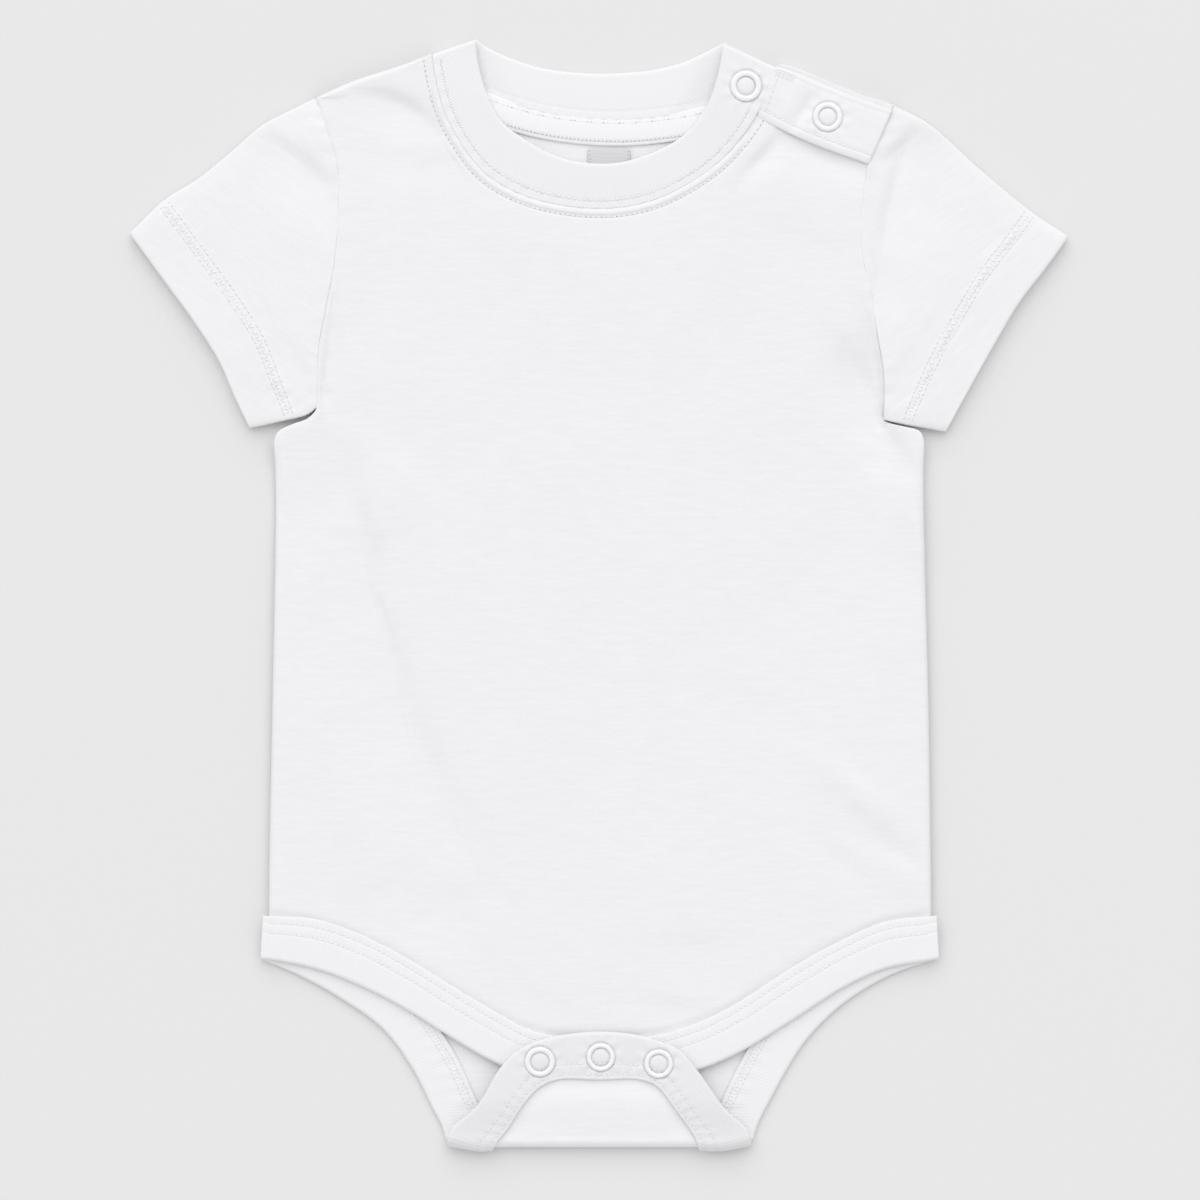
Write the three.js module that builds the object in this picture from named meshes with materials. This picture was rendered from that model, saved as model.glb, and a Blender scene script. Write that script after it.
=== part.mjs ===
import * as THREE from 'three';

// A short-sleeved baby bodysuit laid flat on a table, front up, in millimetres.
// +X is to the picture's right, +Y towards the neck, +Z up out of the table.
// The origin is under the middle of the whole outline, at the height of the table.

// Driving dimensions
const JERSEY = 1;                // one layer of jersey
const SEAM_GAP = 0.3;            // clear space between pieces at a seam
const NECKBAND_THICK = 2.2;      // folded rib strip, two layers
const NECKBAND_WIDTH = 15.4;
const BINDING_OVERLAP_EDGE = 7.6; // from the binding's free edge to where it opens over the panel
const FRONT_PUFF = 5.5;          // top of the front panel, where the cloth lies full
const SLEEVE_HEIGHT = 5.6;       // flattened sleeve at its armhole
const CUFF_HEIGHT = 4.9;         // flattened sleeve at its hem
const HEM_WALL = 2;              // turned-up sleeve hem, two layers
const SNAP_HEIGHT = 1.2;         // white ring that shows
const STUD_HEIGHT = 1;           // closed half between the layers
const FOLD_HEIGHT = 5.8;         // crotch fold of the back panel, over both layers
const FOLD_LINE = -190.1;        // where the back panel starts to turn up
const FLAP_CLIMB_END = -166;     // where the flap has climbed over the front's tab
const TAPE_WIDTH = 8.9;
const PLACKET_DEPTH = 17.5;      // front shoulder that lies flat under the placket
const PLACKET_CROWN = 0.25;      // how far the folded placket swells
const EXTENSION_DEPTH = 16;      // back shoulder extension, under the placket
const BINDING_WIDTH = 15.6;
const ROUND_EDGE_REACH = 8;      // over which the front rounds down to its side seams
const NECK_REACH = 12;           // over which the front sinks towards the neckband
const ARMHOLE_REACH = 10;        // over which the front sinks towards a sleeve
const BINDING_REACH = 13;        // over which the front sinks towards the leg binding
const PLACKET_REACH = 22;        // over which the front sinks towards the placket

// Heights of the stacked layers, from the table up
const BINDING_HEIGHT = 2 * JERSEY + SEAM_GAP;
const ON_BACK = JERSEY + SEAM_GAP;
const FRONT_BINDING_BASE = BINDING_HEIGHT + SEAM_GAP;
const FRONT_EDGE_TOP = ON_BACK + JERSEY;
const FRONT_IN_BINDING = FRONT_BINDING_BASE + JERSEY;
const FLAP_BASE = FRONT_BINDING_BASE + BINDING_HEIGHT + STUD_HEIGHT + 2 * SEAM_GAP;
const FLAP_CLIMB = FLAP_BASE + JERSEY - FOLD_HEIGHT;
const NECKBAND_BASE = NECKBAND_THICK + 0.4;
const NECKBAND_RISE = STUD_HEIGHT + 0.2;
const FRONT_AT_NECK_TOP = 4.9;
const FRONT_AT_ARMHOLE_TOP = 5;
const EXTENSION_BASE = ON_BACK;
const SHOULDER_STUD_BASE = EXTENSION_BASE + JERSEY + SEAM_GAP;
const SHOULDER_TOP = SHOULDER_STUD_BASE + STUD_HEIGHT + SEAM_GAP + JERSEY;
const PLACKET_BASE = SHOULDER_TOP + SEAM_GAP;

// Outlines, in millimetres. Each table is a soft curve through its rows.
const columns = (names, rows) => rows.map((row) => Object.fromEntries(names.map((n, i) => [n, row[i]])));

const SIDE_RIGHT_WEARER = columns(['x', 'y'], [
  [-115, -119.4], [-114.9, -93], [-113.8, -37], [-112.7, 33], [-113.2, 54.5],
]);
const UNDERARM_RIGHT_WEARER = columns(['x', 'y'], [
  [-113.2, 54.5], [-108.5, 56.6], [-101.8, 60.6], [-97.9, 65.4],
]);
const ARMHOLE_RIGHT_WEARER = columns(['x', 'y'], [
  [-98.2, 65.1], [-97.7, 85.8], [-95.2, 100.1], [-92.1, 117.3], [-90.8, 135.5], [-91.4, 150.2],
  [-94.5, 161.7], [-98.7, 173.9],
]);
const SIDE_LEFT_WEARER = columns(['x', 'y'], [
  [115.8, -119.4], [115.6, -93], [114.8, -37], [113.1, 33], [113.2, 54.5],
]);
const UNDERARM_LEFT_WEARER = columns(['x', 'y'], [
  [113.2, 54.5], [108, 56], [102.6, 57.8], [99, 61],
]);
const ARMHOLE_LEFT_WEARER = columns(['x', 'y'], [
  [99.4, 61], [99.4, 76.7], [97.3, 90.3], [94.5, 106.8], [92.1, 117.3], [91.4, 131], [94.3, 152.1],
  [99.1, 163.5], [102.6, 171.2],
]);

const SHOULDER_RIGHT_WEARER = columns(['x', 'y'], [
  [-98.7, 173.9], [-85.4, 179.6], [-69.7, 184.8], [-59.4, 188.6],
]);
const SHOULDER_LEFT_OUTLINE = columns(['x', 'y'], [
  [62.4, 185.9], [66.9, 185], [77.4, 180.8], [87.9, 176.6], [102.6, 171.2],
]);
const SHOULDER_LEFT_FRONT = columns(['x', 'y'], [
  [63.2, 183.6], [66.9, 183], [77.4, 178.8], [87.9, 174.6], [101.9, 169.6],
]);
const PLACKET_LOW = columns(['x', 'y'], [
  [57.2, 166.2], [61.9, 163.4], [71.1, 159], [80.9, 155.1], [93.6, 150.6],
]);

const FRONT_BAND_INNER = columns(['x', 'y'], [
  [-42.9, 194.3], [-42.4, 187.3], [-39.2, 175.4], [-34, 165.6], [-23.1, 157.5], [-12.6, 152.6], [1.8, 150.7],
  [13.3, 152.6], [28.7, 160], [37.5, 170.8], [42, 184.1], [43.1, 193],
]);
const FRONT_BAND_SEAM = columns(['x', 'y'], [
  [-58.5, 189], [-57.8, 181.7], [-54.6, 168], [-49, 157.5], [-40.3, 147.5], [-29.4, 140.7], [-16.1, 136.5],
  [1.8, 134.8], [16.1, 136.9], [28.7, 142.1], [42, 151.2], [50.8, 161], [55.3, 168], [62.3, 184.1],
]);
const BACK_BAND_TOP = columns(['x', 'y'], [
  [-42.9, 194.3], [-38.2, 191.1], [-27.7, 186.6], [-17.2, 183.8], [-1.4, 182.4], [9.1, 182.7], [19.6, 183.8],
  [30.1, 186.6], [35.4, 189], [43.1, 193],
]);
const BACK_BAND_SEAM = columns(['x', 'y'], [
  [-58.5, 189], [-50, 180.5], [-38.5, 174.3], [-18, 168.2], [4.6, 165.9], [22, 167], [36.8, 169.8],
  [52, 176.5], [62.3, 184.1],
]);

// The binding's free edge and its ridge, which lies on the panel
const FRONT_BINDING_FREE = columns(['x', 'y'], [
  [-118.3, -127.2], [-112.7, -127.8], [-97, -131.3], [-79.1, -138.6], [-64.9, -146.3], [-54.3, -153],
  [-36, -163.6], [-20, -169.4], [0, -170.6], [20, -169.6], [36, -165.6], [50.1, -159.3],
  [67.9, -148.4], [85.8, -137], [100.1, -130.6], [115.2, -127.8], [118.8, -127.1],
]);
const FRONT_BINDING_RIDGE = columns(['x', 'y'], [
  [-117.4, -112], [-98.4, -113.4], [-83, -118.5], [-68.6, -126], [-54.3, -134.8], [-39.9, -143.5],
  [-25.6, -151.4], [-14, -154.4], [2, -155], [20, -153.8], [35.7, -149], [50.1, -141.4],
  [67.9, -129.9], [85.8, -120.1], [100.1, -114.1], [118, -112],
]);

// The back panel's bound edge on each side, from the side seam down the leg and on past the crotch
// fold, where y goes on downwards as the cloth would lie unfolded.
const BACK_FREE_RIGHT_WEARER = columns(['x', 'y'], [
  [-118.2, -127.4], [-104.3, -133.4], [-90, -141.4], [-75.6, -151.9], [-64.9, -166.3], [-57.8, -181.3],
  [-54.2, -190], [-53.2, -198], [-53, -206],
]);
const BACK_FREE_LEFT_WEARER = columns(['x', 'y'], [
  [117.6, -127.4], [103.6, -132.3], [92.9, -137.9], [82.3, -145.6], [71.4, -157.2], [60.9, -175],
  [54.6, -190], [53.2, -198], [53, -206],
]);
// The flap's bound edge and the binding's ridge on it, as heights above the fold line
const FLAP_FREE = columns(['x', 'up'], [
  [-53, -12], [-53.3, -4], [-52.2, 1.4], [-41.7, 13.3], [-34.6, 25], [-28, 31.5], [-20.3, 35], [-9, 37.2],
  [0.9, 37.8], [10, 37.2], [19.6, 35], [28.4, 31.2], [34.7, 23.8], [43.4, 11.6],
  [52.2, 1.4], [53.3, -4], [53, -12],
]);
const FLAP_RIDGE = columns(['x', 'up'], [
  [-37.4, -12], [-37.4, -3.5], [-32.2, 3.2], [-25.6, 13.3], [-20.3, 18.6], [-14, 21.1], [0, 21], [14, 21.1],
  [20.3, 18.6], [25.6, 12], [34.7, -2], [36.4, -12],
]);

const SLEEVE_RIGHT_WEARER = {
  topEdge: columns(['x', 'y'], [
    [-98.7, 173.9], [-111.3, 167.7], [-117.3, 164.5], [-129.2, 154.4], [-140, 145.6], [-151.6, 138.3],
    [-164.2, 126.4],
  ]),
  hem: columns(['x', 'y'], [
    [-164.2, 126.4], [-151.9, 109.6], [-141.4, 95.2], [-132.7, 81.6], [-127.8, 70.4], [-122.2, 58.5],
  ]),
  underarm: columns(['x', 'y'], [[-98.6, 65.3], [-102.2, 62.9], [-111.3, 61], [-122.2, 58.5]]),
  armhole: [...ARMHOLE_RIGHT_WEARER].reverse(),
};
const SLEEVE_LEFT_WEARER = {
  topEdge: columns(['x', 'y'], [
    [102.6, 171.2], [114.8, 164.9], [133, 148.8], [150.9, 134.1], [164.2, 125.3],
  ]),
  hem: columns(['x', 'y'], [
    [164.2, 125.3], [156.1, 114.1], [147, 102.2], [137.6, 86.5], [129.5, 72.1], [121.2, 57],
  ]),
  underarm: columns(['x', 'y'], [[99.6, 61.2], [108, 59.2], [114.5, 58.2], [121.2, 57]]),
  armhole: [...ARMHOLE_LEFT_WEARER].reverse(),
};

// Largest folds: soft troughs between two points, deepest in the middle
const FRONT_FOLDS = columns(['x0', 'y0', 'x1', 'y1', 'width', 'depth'], [
  [-92, 52, -74, -14, 7, 1.1],
  [-74, -14, -46, -82, 8, 0.9],
  [76, -60, 107, -90, 5, 0.9],
  [80, -85, 112, -104, 5, 0.7],
  [86, 92, 101, 66, 5, 0.8],
  [52, 158, 40, 140, 5, 0.6],
  [-76, 176, -62, 160, 6, 0.5],
]);
const SLEEVE_FOLDS = columns(['x0', 'y0', 'x1', 'y1', 'width', 'depth'], [
  [-110, 160, -96, 136, 5, 0.8],
  [105, 161, 95, 136, 4, 0.9],
  [95, 136, 97, 92, 5, 0.7],
]);

const SNAPS = columns(['name', 'x', 'y', 'outer', 'hole', 'stud'], [
  ['neckband', 51.3, 177.7, 5.4, 3.4, 4.2],
  ['shoulder', 79.8, 166.9, 5.1, 3.3, 4.1],
  ['crotch_right', -20.6, -162.7, 5.2, 3.4, 4.1],
  ['crotch_middle', 0.6, -161.1, 4.9, 3.3, 4.1],
  ['crotch_left', 20.8, -163.4, 5, 3.4, 4.1],
]);

// Materials
const matt = { roughness: 0.92, metalness: 0 };
const jerseyWhite = (shade) => new THREE.MeshStandardMaterial({ color: shade, ...matt });
const BODY_COLOUR = 0xefeff1;
const SLEEVE_COLOUR = 0xf1f1f3;
const RIB_COLOUR = 0xf2f2f4;
const LABEL_COLOUR = 0xe2e2e4;
const snapWhite = () => new THREE.MeshStandardMaterial({ color: 0xf6f6f7, roughness: 0.3, metalness: 0 });

// Small maths
const clamp01 = (t) => Math.min(1, Math.max(0, t));
const smooth = (t) => clamp01(t) ** 2 * (3 - 2 * clamp01(t));
const mix = (a, b, t) => a + (b - a) * t;
const signedPower = (value, power) => Math.sign(value) * Math.abs(value) ** power;

function curve(table) {
  // A soft curve through a table's x and y, walked by its length.
  const points = table.map((row) => new THREE.Vector3(row.x, row.y, 0));
  const spline = new THREE.CatmullRomCurve3(points, false, 'centripetal');
  return (t) => spline.getPointAt(clamp01(t));
}

function chain(parts) {
  // Curves one after the other: each runs up to its own share of the way.
  return (t) => {
    let start = 0;
    for (const { along, upTo } of parts) {
      if (t <= upTo + 1e-9) return along((t - start) / (upTo - start));
      start = upTo;
    }
    return parts.at(-1).along(1);
  };
}

function movedAcross(along, dx) {
  return (t) => along(t).add(new THREE.Vector3(dx, 0, 0));
}

function between(along, level) {
  // The stretch of a curve that lies on the far side of a level of y, at either or both ends.
  const samples = 600;
  const side = Math.sign(along(0.5).y - level);
  const kept = Array.from({ length: samples + 1 }, (_, i) => i / samples)
    .filter((t) => side * (along(t).y - level) >= 0);
  const [first, last] = [kept[0], kept.at(-1)];
  return (t) => {
    const point = along(mix(first, last, t));
    const atCut = (t >= 1 && last < 1) || (t <= 0 && first > 0);
    return atCut ? point.setY(level) : point;
  };
}

function reaches(along, level, last) {
  // How far along a curve that rises in y first passes a level.
  const samples = 2000;
  for (let i = 0; i <= samples; i += 1) if (along(last * i / samples).y >= level) return last * i / samples;
  return last;
}

function offset(along, distance) {
  // The curve moved sideways, to the left of its own direction where distance is positive.
  const step = 0.004;
  return (t) => {
    const ahead = along(Math.min(1, t + step)).sub(along(Math.max(0, t - step))).normalize();
    return along(t).add(new THREE.Vector3(-ahead.y, ahead.x, 0).multiplyScalar(distance));
  };
}

function stations(breaks, counts) {
  // Values from 0 to 1 that hit each break, with a count of even steps between them.
  const list = [breaks[0]];
  counts.forEach((count, i) => {
    for (let k = 1; k <= count; k += 1) list.push(mix(breaks[i], breaks[i + 1], k / count));
  });
  return list;
}

function distanceTo(along, samples) {
  // Distance from a point to a curve, in the plane of the table.
  const points = Array.from({ length: samples + 1 }, (_, i) => along(i / samples));
  return (x, y) => {
    let best = Infinity;
    for (let i = 0; i < samples; i += 1) {
      const [start, end] = [points[i], points[i + 1]];
      best = Math.min(best, segmentPlace(x, y, start.x, start.y, end.x, end.y).distance);
    }
    return best;
  };
}

function segmentPlace(x, y, x0, y0, x1, y1) {
  const dx = x1 - x0;
  const dy = y1 - y0;
  const along = clamp01(((x - x0) * dx + (y - y0) * dy) / (dx * dx + dy * dy));
  return { along, distance: Math.hypot(x - x0 - along * dx, y - y0 - along * dy) };
}

function foldDepth(folds, x, y) {
  // Sum of the soft troughs at a point.
  return folds.reduce((sum, fold) => {
    const { along, distance } = segmentPlace(x, y, fold.x0, fold.y0, fold.x1, fold.y1);
    const taper = 0.35 + 0.65 * Math.sin(Math.PI * along);
    return sum + fold.depth * taper * Math.exp(-((distance / fold.width) ** 2));
  }, 0);
}

// Mesh makers
function named(name, positions, triangles, material) {
  const geometry = new THREE.BufferGeometry();
  geometry.setAttribute('position', new THREE.Float32BufferAttribute(positions, 3));
  geometry.setIndex(triangles);
  geometry.computeVertexNormals();
  const mesh = new THREE.Mesh(geometry, material);
  mesh.name = name;
  return mesh;
}

function clothWall(name, outer, inner, us, vs, material) {
  // A closed wall from an outer face that looks up and an inner face, both functions of u and v.
  const positions = [];
  const triangles = [];
  const across = us.length;
  const count = across * vs.length;
  const lastRow = vs.length - 1;
  for (const face of [outer, inner]) {
    for (const v of vs) for (const u of us) positions.push(...face(u, v).toArray());
  }
  const at = (i, j, side) => side * count + j * across + i;
  const quad = (a, b, c, d) => triangles.push(a, b, c, a, c, d);
  for (let j = 0; j < lastRow; j += 1) {
    for (let i = 0; i < across - 1; i += 1) {
      quad(at(i, j, 0), at(i + 1, j, 0), at(i + 1, j + 1, 0), at(i, j + 1, 0));
      quad(at(i, j, 1), at(i, j + 1, 1), at(i + 1, j + 1, 1), at(i + 1, j, 1));
    }
  }
  for (let i = 0; i < across - 1; i += 1) {
    quad(at(i, 0, 1), at(i + 1, 0, 1), at(i + 1, 0, 0), at(i, 0, 0));
    quad(at(i + 1, lastRow, 1), at(i, lastRow, 1), at(i, lastRow, 0), at(i + 1, lastRow, 0));
  }
  for (let j = 0; j < lastRow; j += 1) {
    quad(at(0, j + 1, 1), at(0, j, 1), at(0, j, 0), at(0, j + 1, 0));
    quad(at(across - 1, j, 1), at(across - 1, j + 1, 1), at(across - 1, j + 1, 0), at(across - 1, j, 0));
  }
  return named(name, positions, triangles, material);
}

function sweptStrip(name, place, section, vs, material) {
  // A closed strip: the section's points, carried along and capped at both ends.
  const positions = [];
  const triangles = [];
  const ring = section.length;
  for (const v of vs) for (const point of section) positions.push(...place(v, point).toArray());
  for (let j = 0; j < vs.length - 1; j += 1) {
    for (let i = 0; i < ring; i += 1) {
      const a = j * ring + i;
      const b = j * ring + (i + 1) % ring;
      triangles.push(a, b, b + ring, a, b + ring, a + ring);
    }
  }
  const flatSection = section.map(({ across, up }) => new THREE.Vector2(across, up));
  const faces = THREE.ShapeUtils.triangulateShape(flatSection, []);
  const last = (vs.length - 1) * ring;
  for (const [a, b, c] of faces) {
    triangles.push(a, c, b);
    triangles.push(last + a, last + b, last + c);
  }
  return named(name, positions, facingOut(positions, triangles), material);
}

function facingOut(positions, triangles) {
  // Turns every triangle round when the closed mesh would otherwise be inside out.
  const corner = (i) => new THREE.Vector3().fromArray(positions, 3 * i);
  let volume = 0;
  for (let i = 0; i < triangles.length; i += 3) {
    const [a, b, c] = [corner(triangles[i]), corner(triangles[i + 1]), corner(triangles[i + 2])];
    volume += a.dot(b.cross(c));
  }
  if (volume > 0) return triangles;
  return triangles.flatMap((_, i) => (i % 3 ? [] : [triangles[i], triangles[i + 2], triangles[i + 1]]));
}

function acrossRails([freeEdge, ridge], lift) {
  // Puts a section point between a binding's two edges, then lifts or folds it to its place.
  return (v, { across, up }) => lift(freeEdge(v).lerp(ridge(v), across / BINDING_WIDTH), up);
}

// Sections, from the free or folded edge at 0
const BAND_CROWN = 1.04;
const bandSection = (width, thick) => columns(['across', 'up'], [
  [0, thick * 0.5], [0.25, thick * 0.2], [0.9, 0], [width * 0.5, 0], [width, 0],
  [width, thick * 0.9], [width * 0.75, thick], [width * 0.4, thick * BAND_CROWN], [1, thick],
  [0.25, thick * 0.8],
]);
// The binding's section: a doubled free edge, then one layer that lies over the panel
const BINDING_SECTION = columns(['across', 'up'], [
  [0, 1.15], [0.25, 0.45], [0.9, 0], [BINDING_OVERLAP_EDGE, 0], [BINDING_OVERLAP_EDGE, ON_BACK],
  [BINDING_WIDTH, ON_BACK], [BINDING_WIDTH, 2.1], [15.2, BINDING_HEIGHT], [9, BINDING_HEIGHT],
  [0.9, BINDING_HEIGHT], [0.25, 1.85],
]);

// Front and back panels share their sides and armholes
const SIDE_END = 0.56;
const UNDERARM_END = 0.61;
const panelSide = (side, underarm, armhole, inward) => chain([
  { along: curve(side), upTo: SIDE_END },
  { along: curve(underarm), upTo: UNDERARM_END },
  { along: movedAcross(curve(armhole), inward), upTo: 1 },
]);
const NECK_CLEAR = 0.75;          // seam gap plus what the short straight faces cut off the curve
const NECK_START = 0.2;
const NECK_END = 0.8;

function patch(left, right, top, bottom, topReach, bottomReach) {
  // Rows from the left edge to the right one, bent towards the top and bottom edges near them.
  // Over the shoulders the bend fades, so that both sides keep their own line up to the corner.
  const bend = (edge, u, v) => {
    const [start, end] = [left(v), right(v)];
    const missStart = edge(0).sub(start).multiplyScalar(Math.max(0, 1 - u / NECK_START));
    const missEnd = edge(1).sub(end).multiplyScalar(Math.max(0, (u - NECK_END) / (1 - NECK_END)));
    return edge(u).sub(start.lerp(end, u)).sub(missStart).sub(missEnd);
  };
  return (u, v) => left(v).lerp(right(v), u)
    .addScaledVector(bend(top, u, 1), smooth((v - topReach) / (1 - topReach)))
    .addScaledVector(bend(bottom, u, 0), 1 - smooth(v / bottomReach));
}

const frontRails = [curve(FRONT_BINDING_FREE), curve(FRONT_BINDING_RIDGE)];

function makeFrontBody() {
  const left = panelSide(SIDE_RIGHT_WEARER, UNDERARM_RIGHT_WEARER, ARMHOLE_RIGHT_WEARER, SEAM_GAP);
  const right = panelSide(SIDE_LEFT_WEARER, UNDERARM_LEFT_WEARER, ARMHOLE_LEFT_WEARER, -SEAM_GAP);
  const rawEdge = rawEdgeOf(frontRails);
  const neckSeam = offset(curve(FRONT_BAND_SEAM), -NECK_CLEAR);
  const top = chain([
    { along: curve(SHOULDER_RIGHT_WEARER), upTo: NECK_START },
    { along: neckSeam, upTo: NECK_END },
    { along: curve(SHOULDER_LEFT_FRONT), upTo: 1 },
  ]);
  const endTrim = 0.012;
  const bottom = (t) => rawEdge(mix(endTrim, 1 - endTrim, t));
  const flat = patch(left, right, top, bottom, 0.45, 0.5);

  const softEdges = [
    { far: distanceTo(left, 90), meetsSleeve: true },
    { far: distanceTo(right, 90), meetsSleeve: true },
    { far: distanceTo(curve(SHOULDER_RIGHT_WEARER), 20), meetsSleeve: false },
  ];
  const armholes = [ARMHOLE_RIGHT_WEARER, ARMHOLE_LEFT_WEARER].map((table) => distanceTo(curve(table), 40));
  const underarm = { start: 62, blend: 8, clearOfSleeve: 66, lift: 1 };
  const placketCorner = { x: 50, y: 130 };
  const bindingLap = 8.6;
  const toNeck = distanceTo(neckSeam, 60);
  const toLeg = distanceTo(rawEdge, 90);
  const toPlacket = distanceTo(curve(SHOULDER_LEFT_FRONT), 20);

  const height = (x, y) => {
    let top = FRONT_PUFF;
    for (const { far, meetsSleeve } of softEdges) {
      const away = clamp01(far(x, y) / ROUND_EDGE_REACH);
      const nearSleeve = meetsSleeve ? smooth((y - underarm.start) / underarm.blend) : 0;
      const edgeTop = mix(FRONT_EDGE_TOP, FRONT_AT_NECK_TOP, nearSleeve);
      top = Math.min(top, mix(edgeTop, FRONT_PUFF, Math.sin(away * Math.PI / 2)));
    }
    top = Math.min(top, mix(FRONT_AT_NECK_TOP, FRONT_PUFF, smooth(toNeck(x, y) / NECK_REACH)));
    const lift = y < underarm.clearOfSleeve ? underarm.lift : 0;
    for (const far of armholes) {
      top = Math.min(top, mix(FRONT_AT_ARMHOLE_TOP, FRONT_PUFF, smooth(far(x, y) / ARMHOLE_REACH)) + lift);
    }
    top -= foldDepth(FRONT_FOLDS, x, y);
    const isByPlacket = x > placketCorner.x && y > placketCorner.y;
    if (isByPlacket) top = mix(SHOULDER_TOP, top, smooth((toPlacket(x, y) - PLACKET_DEPTH) / PLACKET_REACH));
    return mix(FRONT_IN_BINDING, top, smooth((toLeg(x, y) - bindingLap) / BINDING_REACH));
  };
  const outer = (u, v) => {
    const point = flat(u, v);
    return point.setZ(height(point.x, point.y));
  };
  const us = stations([0, NECK_START, NECK_END, 1], [6, 19, 6]);
  const vs = stations([0, 0.07, SIDE_END, UNDERARM_END, 1], [3, 12, 2, 11]);
  const inner = (u, v) => outer(u, v).sub(new THREE.Vector3(0, 0, JERSEY));
  return clothWall('front_body', outer, inner, us, vs, jerseyWhite(BODY_COLOUR));
}

// The crotch fold: takes the flat back panel to its folded place. rise is measured from the
// garment's outside, which is the underside before the fold and the top after it.
const FOLD_RADIUS = FOLD_HEIGHT / 2;
const FOLD_LENGTH = Math.PI * (FOLD_RADIUS - JERSEY / 2);
function foldUp(x, y, rise) {
  const past = FOLD_LINE - y;
  if (past <= 0) return new THREE.Vector3(x, y, rise);
  const radius = FOLD_RADIUS - rise;
  if (past < FOLD_LENGTH) {
    const turn = Math.PI * past / FOLD_LENGTH;
    return new THREE.Vector3(x, FOLD_LINE - radius * Math.sin(turn), FOLD_RADIUS - radius * Math.cos(turn));
  }
  const up = FOLD_LINE + past - FOLD_LENGTH;
  const climb = FLAP_CLIMB * smooth((up - FOLD_LINE) / (FLAP_CLIMB_END - FOLD_LINE));
  return new THREE.Vector3(x, up, FOLD_HEIGHT - rise + climb);
}

// The crotch binding's free edge on the unfolded panel
const FLAP_START_Y = FOLD_LINE - FOLD_LENGTH;
const FOLD_QUARTER = FOLD_LINE - FOLD_LENGTH / 2;
const unfolded = (table) => table.map(({ x, up }) => ({ x, y: FLAP_START_Y - up }));
const flapRails = [FLAP_FREE, FLAP_RIDGE]
  .map((table) => between(curve(unfolded(table)), FOLD_QUARTER - SEAM_GAP));
const legRails = (table, side) => {
  const free = curve(table);
  return [free, offset(free, side * BINDING_WIDTH)].map((rail) => between(rail, FOLD_QUARTER + SEAM_GAP));
};
const rightLegRails = legRails(BACK_FREE_RIGHT_WEARER, 1);
const leftLegRails = legRails(BACK_FREE_LEFT_WEARER, -1);
const RAW_EDGE_SHARE = (BINDING_OVERLAP_EDGE + 2.5 * SEAM_GAP) / BINDING_WIDTH;
const rawEdgeOf = ([free, ridge]) => (t) => free(t).lerp(ridge(t), RAW_EDGE_SHARE);

function makeBackBody() {
  // Raw edge of the panel under the binding, from the flap's top corner to the side seam.
  const flapRaw = rawEdgeOf(flapRails);
  const FLAP_CORNER = 0.36;
  const crotchEdge = (flapPart, legPart) => [
    ...[0, 0.25, 0.5, 0.75, 0.97].map(flapPart),
    ...[0.99, 0.93, 0.86, 0.78, 0.7, 0.6, 0.5, 0.4, 0.3, 0.2, 0.1, 0.02].map(legPart),
  ];
  const crotchRight = crotchEdge((t) => flapRaw(mix(FLAP_CORNER, 0, t)), rawEdgeOf(rightLegRails));
  const crotchLeft = crotchEdge((t) => flapRaw(mix(1 - FLAP_CORNER, 1, t)), rawEdgeOf(leftLegRails));
  const LEG_END = 0.42;
  const BODY_END = 0.74;
  const ARM_START = 0.77;
  const outline = (crotch, side, underarm, armhole, inward) => chain([
    { along: curve(crotch), upTo: LEG_END },
    { along: curve(side), upTo: BODY_END },
    { along: curve(underarm), upTo: ARM_START },
    { along: movedAcross(curve(armhole), inward), upTo: 1 },
  ]);
  const armholeGap = 3 * SEAM_GAP;
  const left = outline(
    crotchRight, SIDE_RIGHT_WEARER, UNDERARM_RIGHT_WEARER, ARMHOLE_RIGHT_WEARER, armholeGap,
  );
  const right = outline(
    crotchLeft, SIDE_LEFT_WEARER, UNDERARM_LEFT_WEARER, ARMHOLE_LEFT_WEARER, -armholeGap,
  );
  const top = chain([
    { along: curve(SHOULDER_RIGHT_WEARER), upTo: NECK_START },
    { along: offset(curve(BACK_BAND_SEAM), -NECK_CLEAR), upTo: NECK_END },
    { along: curve(SHOULDER_LEFT_OUTLINE), upTo: 1 },
  ]);
  const bottom = (t) => flapRaw(mix(FLAP_CORNER, 1 - FLAP_CORNER, t));
  const flat = patch(left, right, top, bottom, 0.72, 0.1);
  const face = (rise) => (u, v) => {
    const point = flat(u, v);
    return foldUp(point.x, point.y, rise);
  };
  const us = stations([0, NECK_START, NECK_END, 1], [4, 13, 4]);
  // Rows are close together through the fold.
  const foldRows = 12;
  const margin = 0.003;
  const foldEnd = reaches(left, FOLD_LINE - FOLD_LENGTH, LEG_END) - margin;
  const foldStart = reaches(left, FOLD_LINE, LEG_END) + margin;
  const vs = stations([0, foldEnd, foldStart, LEG_END, BODY_END, ARM_START, 1], [5, foldRows, 9, 4, 1, 8]);
  return clothWall('back_body', face(JERSEY), face(0), us, vs, jerseyWhite(BODY_COLOUR));
}

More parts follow.
